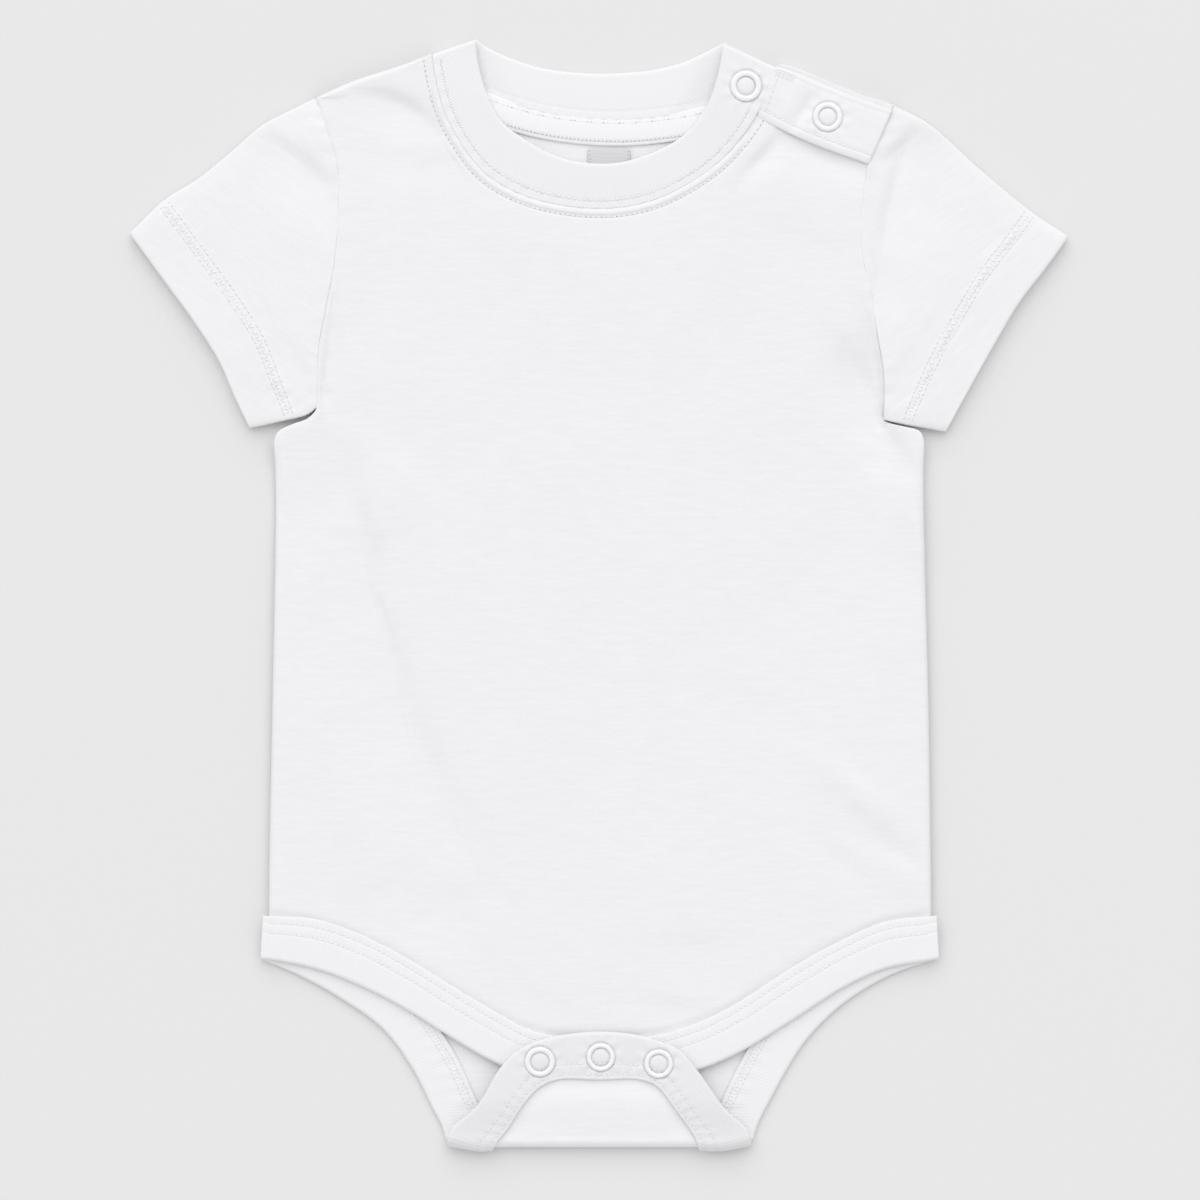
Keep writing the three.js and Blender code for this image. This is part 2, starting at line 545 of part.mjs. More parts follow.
function makeSleeve(name, edges) {
  // A flattened tube through rings, each ring a rounded flat loop from top edge to underarm edge.
  const topEdge = curve(edges.topEdge);
  const underarm = curve(edges.underarm);
  const armhole = curve(edges.armhole);
  const hem = curve(edges.hem);
  const flat = (a, s) => {
    const rows = armhole(a).lerp(hem(a), s);
    const sides = topEdge(s).lerp(underarm(s), a);
    const corners = armhole(0).lerp(hem(0), s).lerp(armhole(1).lerp(hem(1), s), a);
    return rows.add(sides).sub(corners);
  };
  // Powers under one square off a round loop: the underside is the flattest.
  const power = { across: 0.75, top: 0.5, underside: 0.3 };
  const loop = (turn, s, wall) => {
    const width = topEdge(s).distanceTo(underarm(s));
    const high = mix(SLEEVE_HEIGHT, CUFF_HEIGHT, smooth((s - 0.5) / 0.5));
    const shareIn = wall / width;
    const across = 0.5 - (0.5 - shareIn) * signedPower(Math.cos(turn), power.across);
    const lifted = Math.sin(turn);
    const half = high / 2 - wall;
    const z = high / 2 + half * signedPower(lifted, lifted > 0 ? power.top : power.underside);
    const point = flat(across, s);
    const isOnTop = lifted > 0.3;
    return point.setZ(isOnTop ? z - foldDepth(SLEEVE_FOLDS, point.x, point.y) : z);
  };
  const turns = 20;
  const steps = 11;
  const positions = [];
  const triangles = [];
  const seamShift = 0.002;
  const hemLap = { start: 0.72, blend: 0.12 };
  for (const isInner of [false, true]) {
    for (let j = 0; j <= steps; j += 1) {
      const s = mix(seamShift, 1, j / steps);
      const wall = isInner ? mix(JERSEY, HEM_WALL, smooth((s - hemLap.start) / hemLap.blend)) : 0;
      for (let i = 0; i < turns; i += 1) {
        positions.push(...loop(2 * Math.PI * i / turns, s, wall).toArray());
      }
    }
  }
  const at = (i, j, side) => side * turns * (steps + 1) + j * turns + i % turns;
  const quad = (a, b, c, d) => triangles.push(a, b, c, a, c, d);
  for (let i = 0; i < turns; i += 1) {
    for (let j = 0; j < steps; j += 1) {
      quad(at(i, j, 0), at(i + 1, j, 0), at(i + 1, j + 1, 0), at(i, j + 1, 0));
      quad(at(i, j, 1), at(i, j + 1, 1), at(i + 1, j + 1, 1), at(i + 1, j, 1));
    }
    quad(at(i, 0, 0), at(i, 0, 1), at(i + 1, 0, 1), at(i + 1, 0, 0));
    quad(at(i, steps, 0), at(i + 1, steps, 0), at(i + 1, steps, 1), at(i, steps, 1));
  }
  return named(name, positions, facingOut(positions, triangles), jerseyWhite(SLEEVE_COLOUR));
}

function makeNeckband(name, inner, seam, count, base) {
  const innerEdge = curve(inner);
  const seamEdge = curve(seam);
  const place = (v, { across, up }) => innerEdge(v).lerp(seamEdge(v), across).setZ(base(v) + up);
  const section = bandSection(NECKBAND_WIDTH, NECKBAND_THICK)
    .map(({ across, up }) => ({ across: across / NECKBAND_WIDTH, up }));
  return sweptStrip(name, place, section, stations([0, 1], [count]), jerseyWhite(RIB_COLOUR));
}

const BACK_SEAM_TRIM = 0.1;
function makeNeckTape() {
  const seam = curve(BACK_BAND_SEAM);
  const trimmed = (t) => seam(mix(BACK_SEAM_TRIM, 1 - BACK_SEAM_TRIM, t));
  const topEdge = offset(trimmed, -2 * SEAM_GAP);
  const lowEdge = offset(trimmed, -TAPE_WIDTH);
  const width = TAPE_WIDTH - SEAM_GAP;
  const section = bandSection(width, JERSEY);
  const place = (v, { across, up }) => lowEdge(v).lerp(topEdge(v), across / width).setZ(ON_BACK + up);
  return sweptStrip('neck_tape', place, section, stations([0, 1], [20]), jerseyWhite(RIB_COLOUR));
}

function makeLabel() {
  const LABEL = { left: -3.9, right: 10.9, low: 142.5, high: 156, thick: 0.7 };
  const face = (rise) => (u, v) => (
    new THREE.Vector3(mix(LABEL.left, LABEL.right, u), mix(LABEL.low, LABEL.high, v), ON_BACK + rise)
  );
  const even = stations([0, 1], [3]);
  return clothWall('neck_label', face(LABEL.thick), face(0), even, even, jerseyWhite(LABEL_COLOUR));
}

function makePlacket() {
  const topEdge = curve(SHOULDER_LEFT_FRONT);
  const lowEdge = curve(PLACKET_LOW);
  const endTrim = 0.012;
  const outer = (u, v) => {
    const t = mix(endTrim, 1 - endTrim, u);
    const point = lowEdge(t).lerp(topEdge(t), v);
    return point.setZ(PLACKET_BASE + JERSEY + PLACKET_CROWN * Math.sqrt(Math.sin(Math.PI * v)));
  };
  const inner = (u, v) => outer(u, v).setZ(PLACKET_BASE);
  const [us, vs] = [stations([0, 1], [8]), stations([0, 1], [6])];
  return clothWall('shoulder_placket', outer, inner, us, vs, jerseyWhite(BODY_COLOUR));
}

function makeShoulderExtension() {
  const topEdge = curve(SHOULDER_LEFT_OUTLINE);
  const lowEdge = offset(topEdge, -EXTENSION_DEPTH);
  const ends = { start: 0.01, lowEnd: 0.93, topEnd: 0.985 };
  const outer = (u, v) => {
    const low = lowEdge(mix(ends.start, ends.lowEnd, u));
    return low.lerp(topEdge(mix(ends.start, ends.topEnd, u)), v).setZ(EXTENSION_BASE + JERSEY);
  };
  const inner = (u, v) => outer(u, v).setZ(EXTENSION_BASE);
  const [us, vs] = [stations([0, 1], [8]), stations([0, 1], [4])];
  return clothWall('shoulder_extension', outer, inner, us, vs, jerseyWhite(BODY_COLOUR));
}

function makeFrontBinding() {
  const place = acrossRails(frontRails, (point, up) => point.setZ(FRONT_BINDING_BASE + up));
  return sweptStrip('binding_front', place, BINDING_SECTION, stations([0, 1], [40]), jerseyWhite(RIB_COLOUR));
}

function makeBackBinding(name, rails) {
  // From the side seam down the leg to the outermost line of the fold.
  const place = acrossRails(rails, (point, up) => foldUp(point.x, point.y, up));
  const vs = stations([0, 0.85, 0.955, 1], [13, 4, 6]);
  return sweptStrip(name, place, BINDING_SECTION, vs, jerseyWhite(RIB_COLOUR));
}

function makeFlapBinding() {
  // Round the flap's three edges. Its open layer lies on the garment's outside, so up is turned.
  const place = acrossRails(flapRails, (point, up) => foldUp(point.x, point.y, JERSEY - up));
  const vs = stations([0, 0.03, 0.12, 0.88, 0.97, 1], [5, 4, 26, 4, 5]);
  return sweptStrip('binding_flap', place, BINDING_SECTION, vs, jerseyWhite(RIB_COLOUR));
}

function ringSnap(name, snap, base) {
  // The white ring that grips the cloth: rounded, open in the middle.
  const middle = (snap.outer + snap.hole) / 2;
  const half = (snap.outer - snap.hole) / 2;
  const profile = columns(['out', 'up'], [
    [-1, 0], [1, 0], [1, 0.45], [0.55, 0.9], [0, 1], [-0.55, 0.9], [-1, 0.45], [-1, 0],
  ]).map(({ out, up }) => new THREE.Vector2(middle + half * out, SNAP_HEIGHT * up));
  const mesh = new THREE.Mesh(new THREE.LatheGeometry(profile, 16).rotateX(Math.PI / 2), snapWhite());
  mesh.name = name;
  mesh.position.set(snap.x, snap.y, base);
  return mesh;
}

function snapStud(name, snap, base) {
  const profile = columns(['out', 'up'], [[0, 0], [1, 0], [1, 0.7], [0.8, 1], [0, 1]])
    .map(({ out, up }) => new THREE.Vector2(snap.stud * out, STUD_HEIGHT * up));
  const mesh = new THREE.Mesh(new THREE.LatheGeometry(profile, 12).rotateX(Math.PI / 2), snapWhite());
  mesh.name = name;
  mesh.position.set(snap.x, snap.y, base);
  return mesh;
}

const group = new THREE.Group();
group.add(makeBackBody());
group.add(makeFrontBody());
group.add(makeSleeve('sleeve_right', SLEEVE_RIGHT_WEARER));
group.add(makeSleeve('sleeve_left', SLEEVE_LEFT_WEARER));
const frontBandBase = (v) => NECKBAND_BASE + NECKBAND_RISE * smooth((v - 0.74) / 0.16);
group.add(makeNeckband('neckband_back', BACK_BAND_TOP, BACK_BAND_SEAM, 20, () => 0));
group.add(makeNeckband('neckband_front', FRONT_BAND_INNER, FRONT_BAND_SEAM, 36, frontBandBase));
group.add(makeNeckTape());
group.add(makeLabel());
group.add(makePlacket());
group.add(makeShoulderExtension());
group.add(makeFrontBinding());
group.add(makeBackBinding('binding_back_right', rightLegRails));
group.add(makeBackBinding('binding_back_left', leftLegRails));
group.add(makeFlapBinding());

const snapBase = {
  neckband: {
    ring: NECKBAND_BASE + NECKBAND_RISE + NECKBAND_THICK * BAND_CROWN + SEAM_GAP,
    stud: NECKBAND_THICK + SEAM_GAP + 0.05,
  },
  shoulder: { ring: PLACKET_BASE + JERSEY + PLACKET_CROWN + SEAM_GAP, stud: SHOULDER_STUD_BASE },
  crotch: { ring: FLAP_BASE + BINDING_HEIGHT + SEAM_GAP, stud: FLAP_BASE - SEAM_GAP - STUD_HEIGHT },
};
for (const snap of SNAPS) {
  const base = snapBase[snap.name] ?? snapBase.crotch;
  group.add(ringSnap(`snap_ring_${snap.name}`, snap, base.ring));
  group.add(snapStud(`snap_stud_${snap.name}`, snap, base.stud));
}

export default group;
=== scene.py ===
"""Looks of a plain white short-sleeved baby bodysuit, laid flat and seen from above."""
import logging
import math
from dataclasses import dataclass, field
from enum import Enum
from typing import Any, Callable, Sequence

import bpy
import numpy as np
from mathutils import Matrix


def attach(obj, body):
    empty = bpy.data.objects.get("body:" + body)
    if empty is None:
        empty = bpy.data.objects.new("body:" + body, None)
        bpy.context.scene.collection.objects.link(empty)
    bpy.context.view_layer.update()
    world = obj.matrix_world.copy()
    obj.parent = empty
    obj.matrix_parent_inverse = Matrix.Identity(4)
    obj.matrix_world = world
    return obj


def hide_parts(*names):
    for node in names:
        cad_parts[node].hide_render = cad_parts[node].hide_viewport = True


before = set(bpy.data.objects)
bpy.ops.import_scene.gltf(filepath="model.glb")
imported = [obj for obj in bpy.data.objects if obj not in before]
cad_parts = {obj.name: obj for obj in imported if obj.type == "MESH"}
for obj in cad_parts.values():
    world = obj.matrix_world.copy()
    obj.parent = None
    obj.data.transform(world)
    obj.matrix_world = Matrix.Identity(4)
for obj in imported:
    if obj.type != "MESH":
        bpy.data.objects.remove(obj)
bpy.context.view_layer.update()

Array = np.ndarray
Row = Sequence[float]
MM = 0.001
log = logging.getLogger("bodysuit")


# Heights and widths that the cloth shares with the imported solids, in millimetres


@dataclass(frozen=True)
class Layers:
    """How the layers stack up from the table, in millimetres."""

    jersey: float = 1.0
    gap: float = 0.3
    band: float = 2.2
    band_air: float = 0.4
    band_width: float = 15.4
    stud: float = 1.0
    binding_width: float = 15.6
    opens_at: float = 7.6
    puff: float = 5.5
    fold_height: float = 5.8
    fold_line: float = -190.1
    climb_end: float = -175.0
    placket_depth: float = 17.5
    tape_width: float = 8.9
    tape_lap: float = 1.1

    @property
    def binding(self) -> float:
        """Height of a doubled binding."""
        return 2 * self.jersey + self.gap

    @property
    def on_back(self) -> float:
        """Where a layer lies that rests on the back panel."""
        return self.jersey + self.gap

    @property
    def front_binding(self) -> float:
        """Where the front binding lies on the back one."""
        return self.binding + self.gap

    @property
    def flap(self) -> float:
        """Where the flap's own cloth starts over the front's tab."""
        return self.front_binding + self.binding + self.stud + 2 * self.gap

    @property
    def climb(self) -> float:
        """How far the flap rises from the fold to the snaps."""
        return self.flap + self.jersey - self.fold_height

    @property
    def front_band(self) -> float:
        """Where the front neckband lies on the back one."""
        return self.band + self.band_air

    @property
    def shoulder_top(self) -> float:
        """Top of the front panel under the placket."""
        return self.on_back + self.jersey + self.gap + self.stud + self.gap + self.jersey

    @property
    def placket(self) -> float:
        """Where the placket strip lies."""
        return self.shoulder_top + self.gap

    @property
    def wall(self) -> float:
        """The shells' own wall, a little under the solids' one."""
        return 0.92 * self.jersey

    @property
    def tape(self) -> float:
        """Where the neck tape lies on the back panel."""
        return self.jersey + 0.02

    @property
    def fold_length(self) -> float:
        """Length of cloth that goes round the crotch fold."""
        return math.pi * (self.fold_height / 2 - self.jersey / 2)


STACK = Layers()


# Small maths on whole arrays


def mix(a: Any, b: Any, t: Any) -> Any:
    """Straight blend from a to b."""
    return a + (b - a) * t


def smooth(t: Any) -> Any:
    """The soft step t squared times (3 - 2 t), held between 0 and 1."""
    held = np.clip(t, 0.0, 1.0)
    return held**2 * (3 - 2 * held)


def bell(t: Any) -> Any:
    """A soft hump that is 1 at t = 0."""
    return np.exp(-(t**2))


def rolled(distance: Any, radius: float) -> Any:
    """How far a rounded edge has dropped at a distance in from it: a quarter circle."""
    return radius * (1 - np.sqrt(1 - (1 - np.clip(distance / radius, 0, 1)) ** 2))


def plump(distance: Any, reach: float) -> Any:
    """How full laid cloth is at a distance in from a rounded edge: 1 less a cube, to a small power."""
    return (1 - (1 - np.clip(distance / reach, 0, 1)) ** 3) ** 0.34


def lifted(flat: Array, z: Any) -> Array:
    """Flat points given their heights, or one height for all."""
    return np.concatenate([flat, np.broadcast_to(z, flat.shape[:-1])[..., None]], axis=-1)


def gather(place: Any, pace: float, slow_place: Any, slow_pace: float, sway: float = 2.0) -> Any:
    """Uneven small waves along a seam: a quick wave whose phase sways with a slow one."""
    return np.sin(place * pace + sway * np.sin(slow_place * slow_pace))


def nearest(x: Array, y: Array, start: Array, end: Array) -> tuple[Array, Array]:
    """The share along a straight stretch that is nearest to each place, and how far off it is.

    Args:
        x: Places across, in millimetres.
        y: Places along, in millimetres.
        start: The stretch's first point.
        end: Its last point.

    Returns:
        Shares from 0 to 1, and distances in millimetres.
    """
    (ax, ay), (dx, dy) = start, end - start
    along = np.clip(((x - ax) * dx + (y - ay) * dy) / max(dx * dx + dy * dy, 1e-12), 0, 1)
    return along, np.hypot(x - ax - along * dx, y - ay - along * dy)


def stations(breaks: Row, counts: Sequence[int]) -> Array:
    """Values that hit each break, with a count of even steps between them.

    Args:
        breaks: The values to hit, rising.
        counts: Steps between one break and the next.

    Returns:
        All the values in one array.
    """
    runs = [np.linspace(a, b, n, endpoint=False) for a, b, n in zip(breaks, breaks[1:], counts)]
    return np.concatenate([*runs, [breaks[-1]]])


# Slow swelling: how many waves are summed, what share each keeps of the last, and what scales the sum
OCTAVES = 6
OCTAVE_SHARE = 0.72
OCTAVE_SUM = 2.6


def ripple(x: Array, y: Array, seed: int, size: float) -> Array:
    """Slow uneven swelling of laid cloth: a sum of crossed sine waves.

    Args:
        x: Places across, in millimetres.
        y: Places along, in millimetres.
        seed: Picks the directions and phases.
        size: Longest wave, in millimetres.

    Returns:
        Heights from about -1 to 1.
    """
    rng = np.random.default_rng(seed)
    total = np.zeros(np.broadcast(x, y).shape)
    for octave in range(OCTAVES):
        angle, phase = rng.uniform(0, math.tau, 2)
        share = OCTAVE_SHARE**octave
        ahead = x * math.cos(angle) + y * math.sin(angle)
        total = total + share * np.sin(ahead * math.tau / (size * share) + phase)
    return total / OCTAVE_SUM


class Path:
    """A soft line in the table's plane, walked by its length from 0 to 1."""

    def __init__(self, points: Array) -> None:
        """Takes close points along the line, in millimetres."""
        self.points = points
        steps = np.linalg.norm(np.diff(points, axis=0), axis=1)
        self.walked = np.concatenate([[0.0], np.cumsum(steps)])
        self.length = float(self.walked[-1])

    @classmethod
    def through(cls, rows: Sequence[Row], per_row: int = 40) -> "Path":
        """The centripetal curve through a table of x and y.

        Each stretch between two rows is a cubic whose end slopes come from the neighbouring rows,
        weighed by the square roots of the distances between them.

        Args:
            rows: The table, each row with x and y in millimetres.
            per_row: How many points to make between two rows.

        Returns:
            The finished line.
        """
        p = np.array(rows, float)
        p = np.vstack([2 * p[0] - p[1], p, 2 * p[-1] - p[-2]])
        p0, p1, p2, p3 = (p[i : len(p) - 3 + i, None] for i in range(4))
        pairs = ((p0, p1), (p1, p2), (p2, p3))
        d0, d1, d2 = (np.sqrt(np.linalg.norm(b - a, axis=2))[..., None] for a, b in pairs)
        slope1 = d1 * ((p1 - p0) / d0 - (p2 - p0) / (d0 + d1) + (p2 - p1) / d1)
        slope2 = d1 * ((p2 - p1) / d1 - (p3 - p1) / (d1 + d2) + (p3 - p2) / d2)
        t = np.linspace(0, 1, per_row, endpoint=False)[None, :, None]
        curve = p1 + slope1 * t + (3 * (p2 - p1) - 2 * slope1 - slope2) * t**2
        curve = curve + (2 * (p1 - p2) + slope1 + slope2) * t**3
        return cls(np.vstack([curve.reshape(-1, 2), p[-2]]))

    def at(self, t: Array) -> Array:
        """Points at shares of the length."""
        s = np.clip(np.asarray(t, float), 0, 1) * self.length
        return np.stack([np.interp(s, self.walked, self.points[:, k]) for k in (0, 1)], axis=-1)

    def heading(self) -> Array:
        """Unit directions at the line's own points."""
        ahead = np.gradient(self.points, axis=0)
        return ahead / np.maximum(np.linalg.norm(ahead, axis=1, keepdims=True), 1e-9)

    def beside(self, distance: float) -> "Path":
        """The line moved sideways, to its own left where distance is positive."""
        ahead = self.heading()
        left = np.stack([-ahead[:, 1], ahead[:, 0]], axis=1)
        return Path(self.points + distance * left)

    def shifted(self, dx: float) -> "Path":
        """The line moved bodily across."""
        return Path(self.points + np.array([dx, 0.0]))

    def backwards(self) -> "Path":
        """The same line from its other end."""
        return Path(self.points[::-1])

    def past_level(self, level: float) -> "Path":
        """The stretch that lies on the same side of a level of y as the line's middle."""
        side = np.sign(self.at(np.array(0.5))[1] - level)
        kept = self.points[side * (self.points[:, 1] - level) >= 0].copy()
        if len(kept) < len(self.points):
            ends = [-1] if (self.points[0, 1] - level) * side > 0 else [0, -1]
            kept[ends, 1] = level
        return Path(kept)

    def distance(self, x: Array, y: Array, samples: int = 160) -> Array:
        """Shortest distance from each place to the line's own points and the stretches between.

        Args:
            x: Places across, in millimetres.
            y: Places along, in millimetres.
            samples: How many stretches the line is cut into.

        Returns:
            Distances in millimetres, in the shape of x.
        """
        line = self.at(np.linspace(0, 1, samples + 1))
        best = np.full(np.shape(x), np.inf)
        for start, end in zip(line, line[1:]):
            best = np.minimum(best, nearest(x, y, start, end)[1])
        return best


@dataclass(frozen=True)
class Chain:
    """Lines one after the other, each up to its own share of the way."""

    parts: tuple[tuple[Path, float], ...]

    def at(self, t: Array) -> Array:
        """Points at shares of the way."""
        t = np.asarray(t, float)
        found = np.zeros((*t.shape, 2))
        start = 0.0
        for path, end in self.parts:
            here = (t >= start) & (t <= end) if start else t <= end
            found[here] = path.at((t[here] - start) / (end - start))
            start = end
        return found


@dataclass(frozen=True)
class Creases:
    """Soft troughs and ridges, each a bent line with a width and a depth in millimetres."""

    rows: tuple[tuple[float, ...], ...]
    spread: float = 2.0
    stretches: int = 16

    def depth(self, x: Array, y: Array) -> Array:
        """How far the creases lower the cloth at each place.

        Each row is a parabola from a start, by a pull point, to an end. Its depth is greatest in
        the middle and falls off sideways as a bell, steeper towards the neck end than away from it.

        Args:
            x: Places across, in millimetres.
            y: Places along, in millimetres.

        Returns:
            Depths in millimetres, positive where the cloth sinks.
        """
        total = np.zeros(np.shape(x))
        t = np.linspace(0, 1, self.stretches + 1)[:, None]
        for x0, y0, xm, ym, x1, y1, width, depth in self.rows:
            a, m, b = np.array([x0, y0]), np.array([xm, ym]), np.array([x1, y1])
            line = (1 - t) ** 2 * a + 2 * t * (1 - t) * m + t**2 * b
            best = np.full(np.shape(x), np.inf)
            place = np.zeros(np.shape(x))
            upper = np.zeros(np.shape(x), bool)
            for i, (start, end) in enumerate(zip(line, line[1:])):
                along, far = nearest(x, y, start, end)
                nearer = far < best
                best = np.where(nearer, far, best)
                place = np.where(nearer, (i + along) / self.stretches, place)
                dx, dy = end - start
                above = (dx * (y - start[1]) - dy * (x - start[0])) * math.copysign(1, x1 - x0) > 0
                upper = np.where(nearer, above, upper)
            reach = width * np.where(upper, 1.0, self.spread)
            total += depth * (0.25 + 0.75 * np.sin(math.pi * place)) * bell(best / reach)
        return total


# The garment's outline, in millimetres: each table's columns are x and y

SIDE_RIGHT = ((-115, -119.4), (-114.9, -93), (-113.8, -37), (-112.7, 33), (-113.2, 55))
UNDERARM_RIGHT = ((-113.2, 55), (-112, 57.2), (-107, 59.7), (-101.8, 61.6), (-98.2, 65.1))
ARMHOLE_RIGHT = (
    (-98.2, 65.1), (-97.7, 85.8), (-95.2, 100.1), (-92.1, 117.3), (-90.8, 135.5), (-91.4, 150.2),
    (-94.5, 161.7), (-98.7, 173.9),
)
SIDE_LEFT = ((115.8, -119.4), (115.6, -93), (114.8, -37), (113.1, 33), (113.2, 55))
UNDERARM_LEFT = ((113.2, 55), (112, 57.3), (106.1, 58.9), (102, 59.9), (99.4, 61))
ARMHOLE_LEFT = (
    (99.4, 61), (99.4, 76.7), (97.3, 90.3), (94.5, 106.8), (92.1, 117.3), (91.4, 131), (94.3, 152.1),
    (99.1, 163.5), (102.6, 171.2),
)
SHOULDER_RIGHT = ((-98.7, 173.9), (-85.4, 179.6), (-69.7, 184.8), (-59.4, 188.6))
SHOULDER_LEFT_OUTLINE = ((62.4, 185.9), (66.9, 185), (77.4, 180.8), (87.9, 176.6), (102.6, 171.2))
SHOULDER_LEFT_FRONT = ((63.2, 183.6), (66.9, 183), (77.4, 178.8), (87.9, 174.6), (101.9, 169.6))
PLACKET_LOW = ((57.2, 166.2), (61.9, 163.4), (71.1, 159), (80.9, 155.1), (93.6, 150.6))
FRONT_BAND_INNER = (
    (-42.9, 194.3), (-42.4, 187.3), (-39.2, 175.4), (-34, 165.6), (-23.1, 157.5), (-12.6, 152.6),
    (1.8, 150.7), (13.3, 152.6), (28.7, 160), (37.5, 170.8), (42, 184.1), (43.1, 193),
)
FRONT_BAND_SEAM = (
    (-58.5, 189), (-57.5, 181.7), (-53.8, 168), (-48.2, 157.5), (-40.3, 147.5), (-29.4, 140.7),
    (-16.1, 136.5), (1.8, 134.8), (16.1, 136.9), (28.7, 142.1), (42, 151.2), (50.8, 161), (55.3, 168),
    (62.3, 184.1),
)
BACK_BAND_TOP = (
    (-42.9, 194.3), (-38.2, 191.1), (-27.7, 186.6), (-17.2, 183.8), (-1.4, 182.4), (9.1, 182.7),
    (19.6, 183.8), (30.1, 186.6), (35.4, 189), (43.1, 193),
)
BACK_BAND_SEAM = (
    (-58.5, 189), (-50, 180.5), (-38.5, 174.3), (-18, 168.2), (4.6, 165.9), (22, 167), (36.8, 169.8),
    (52, 176.5), (62.3, 184.1),
)
FRONT_BINDING_FREE = (
    (-118.3, -127.2), (-112.7, -127.8), (-97, -131.3), (-79.1, -138.6), (-64.9, -146.3), (-54.3, -153),
    (-36, -163.6), (-20, -169.4), (0, -170.6), (20, -169.6), (36, -165.6), (50.1, -159.3), (67.9, -148.4),
    (85.8, -137), (100.1, -130.6), (115.2, -127.8), (118.8, -127.1),
)
FRONT_BINDING_RIDGE = (
    (-117.4, -112), (-98.4, -113.4), (-83, -118.5), (-68.6, -126), (-54.3, -134.8), (-39.9, -143.5),
    (-25.6, -151.4), (-14, -154.4), (2, -155), (20, -153.8), (35.7, -149), (50.1, -141.4), (67.9, -129.9),
    (85.8, -120.1), (100.1, -114.1), (118, -112),
)
BACK_FREE_RIGHT = (
    (-118.2, -127.4), (-104.3, -133.4), (-90, -141.4), (-75.6, -151.9), (-64.9, -166.3), (-57.8, -181.3),
    (-54.2, -190), (-53.2, -198), (-53, -206),
)
BACK_FREE_LEFT = (
    (117.6, -127.4), (103.6, -132.3), (92.9, -137.9), (82.3, -145.6), (71.4, -157.2), (60.9, -175),
    (54.6, -190), (53.2, -198), (53, -206),
)
# The flap's tables give x and the height above the fold line
FLAP_FREE = (
    (-53, -12), (-53.3, -4), (-52.2, 1.4), (-41.7, 13.3), (-34.6, 25), (-28, 31.5), (-20.3, 35), (-9, 37.2),
    (0.9, 37.8), (10, 37.2), (19.6, 35), (28.4, 31.2), (34.7, 23.8), (43.4, 11.6), (52.2, 1.4), (53.3, -4),
    (53, -12),
)
FLAP_RIDGE = (
    (-37.4, -12), (-37.4, -3.5), (-32.2, 3.2), (-25.6, 13.3), (-20.3, 18.6), (-14, 21.1), (0, 21),
    (14, 21.1), (20.3, 18.6), (25.6, 12), (34.7, -2), (36.4, -12),
)
SLEEVE_RIGHT_TOP = (
    (-98.7, 173.9), (-111.3, 167.7), (-117.3, 164.5), (-129.2, 154.4), (-140, 145.6), (-151.6, 138.3),
    (-164.2, 126.4),
)
SLEEVE_RIGHT_HEM = (
    (-164.2, 126.4), (-151.9, 109.6), (-141.4, 95.2), (-132.7, 81.6), (-127.8, 70.4), (-122.2, 58.5),
)
SLEEVE_RIGHT_UNDER = ((-98.6, 65.3), (-102.2, 62.8), (-110.3, 60.8), (-117.6, 59.2), (-122.2, 58.3))
SLEEVE_LEFT_TOP = ((102.6, 171.2), (114.8, 164.9), (133, 148.8), (150.9, 134.1), (164.2, 125.3))
SLEEVE_LEFT_HEM = ((164.2, 125.3), (156.1, 114.1), (147, 102.2), (137.6, 86.5), (129.5, 72.1), (121.2, 57))
SLEEVE_LEFT_UNDER = ((99.6, 61.2), (108, 59.2), (114.5, 58.2), (121.2, 57))

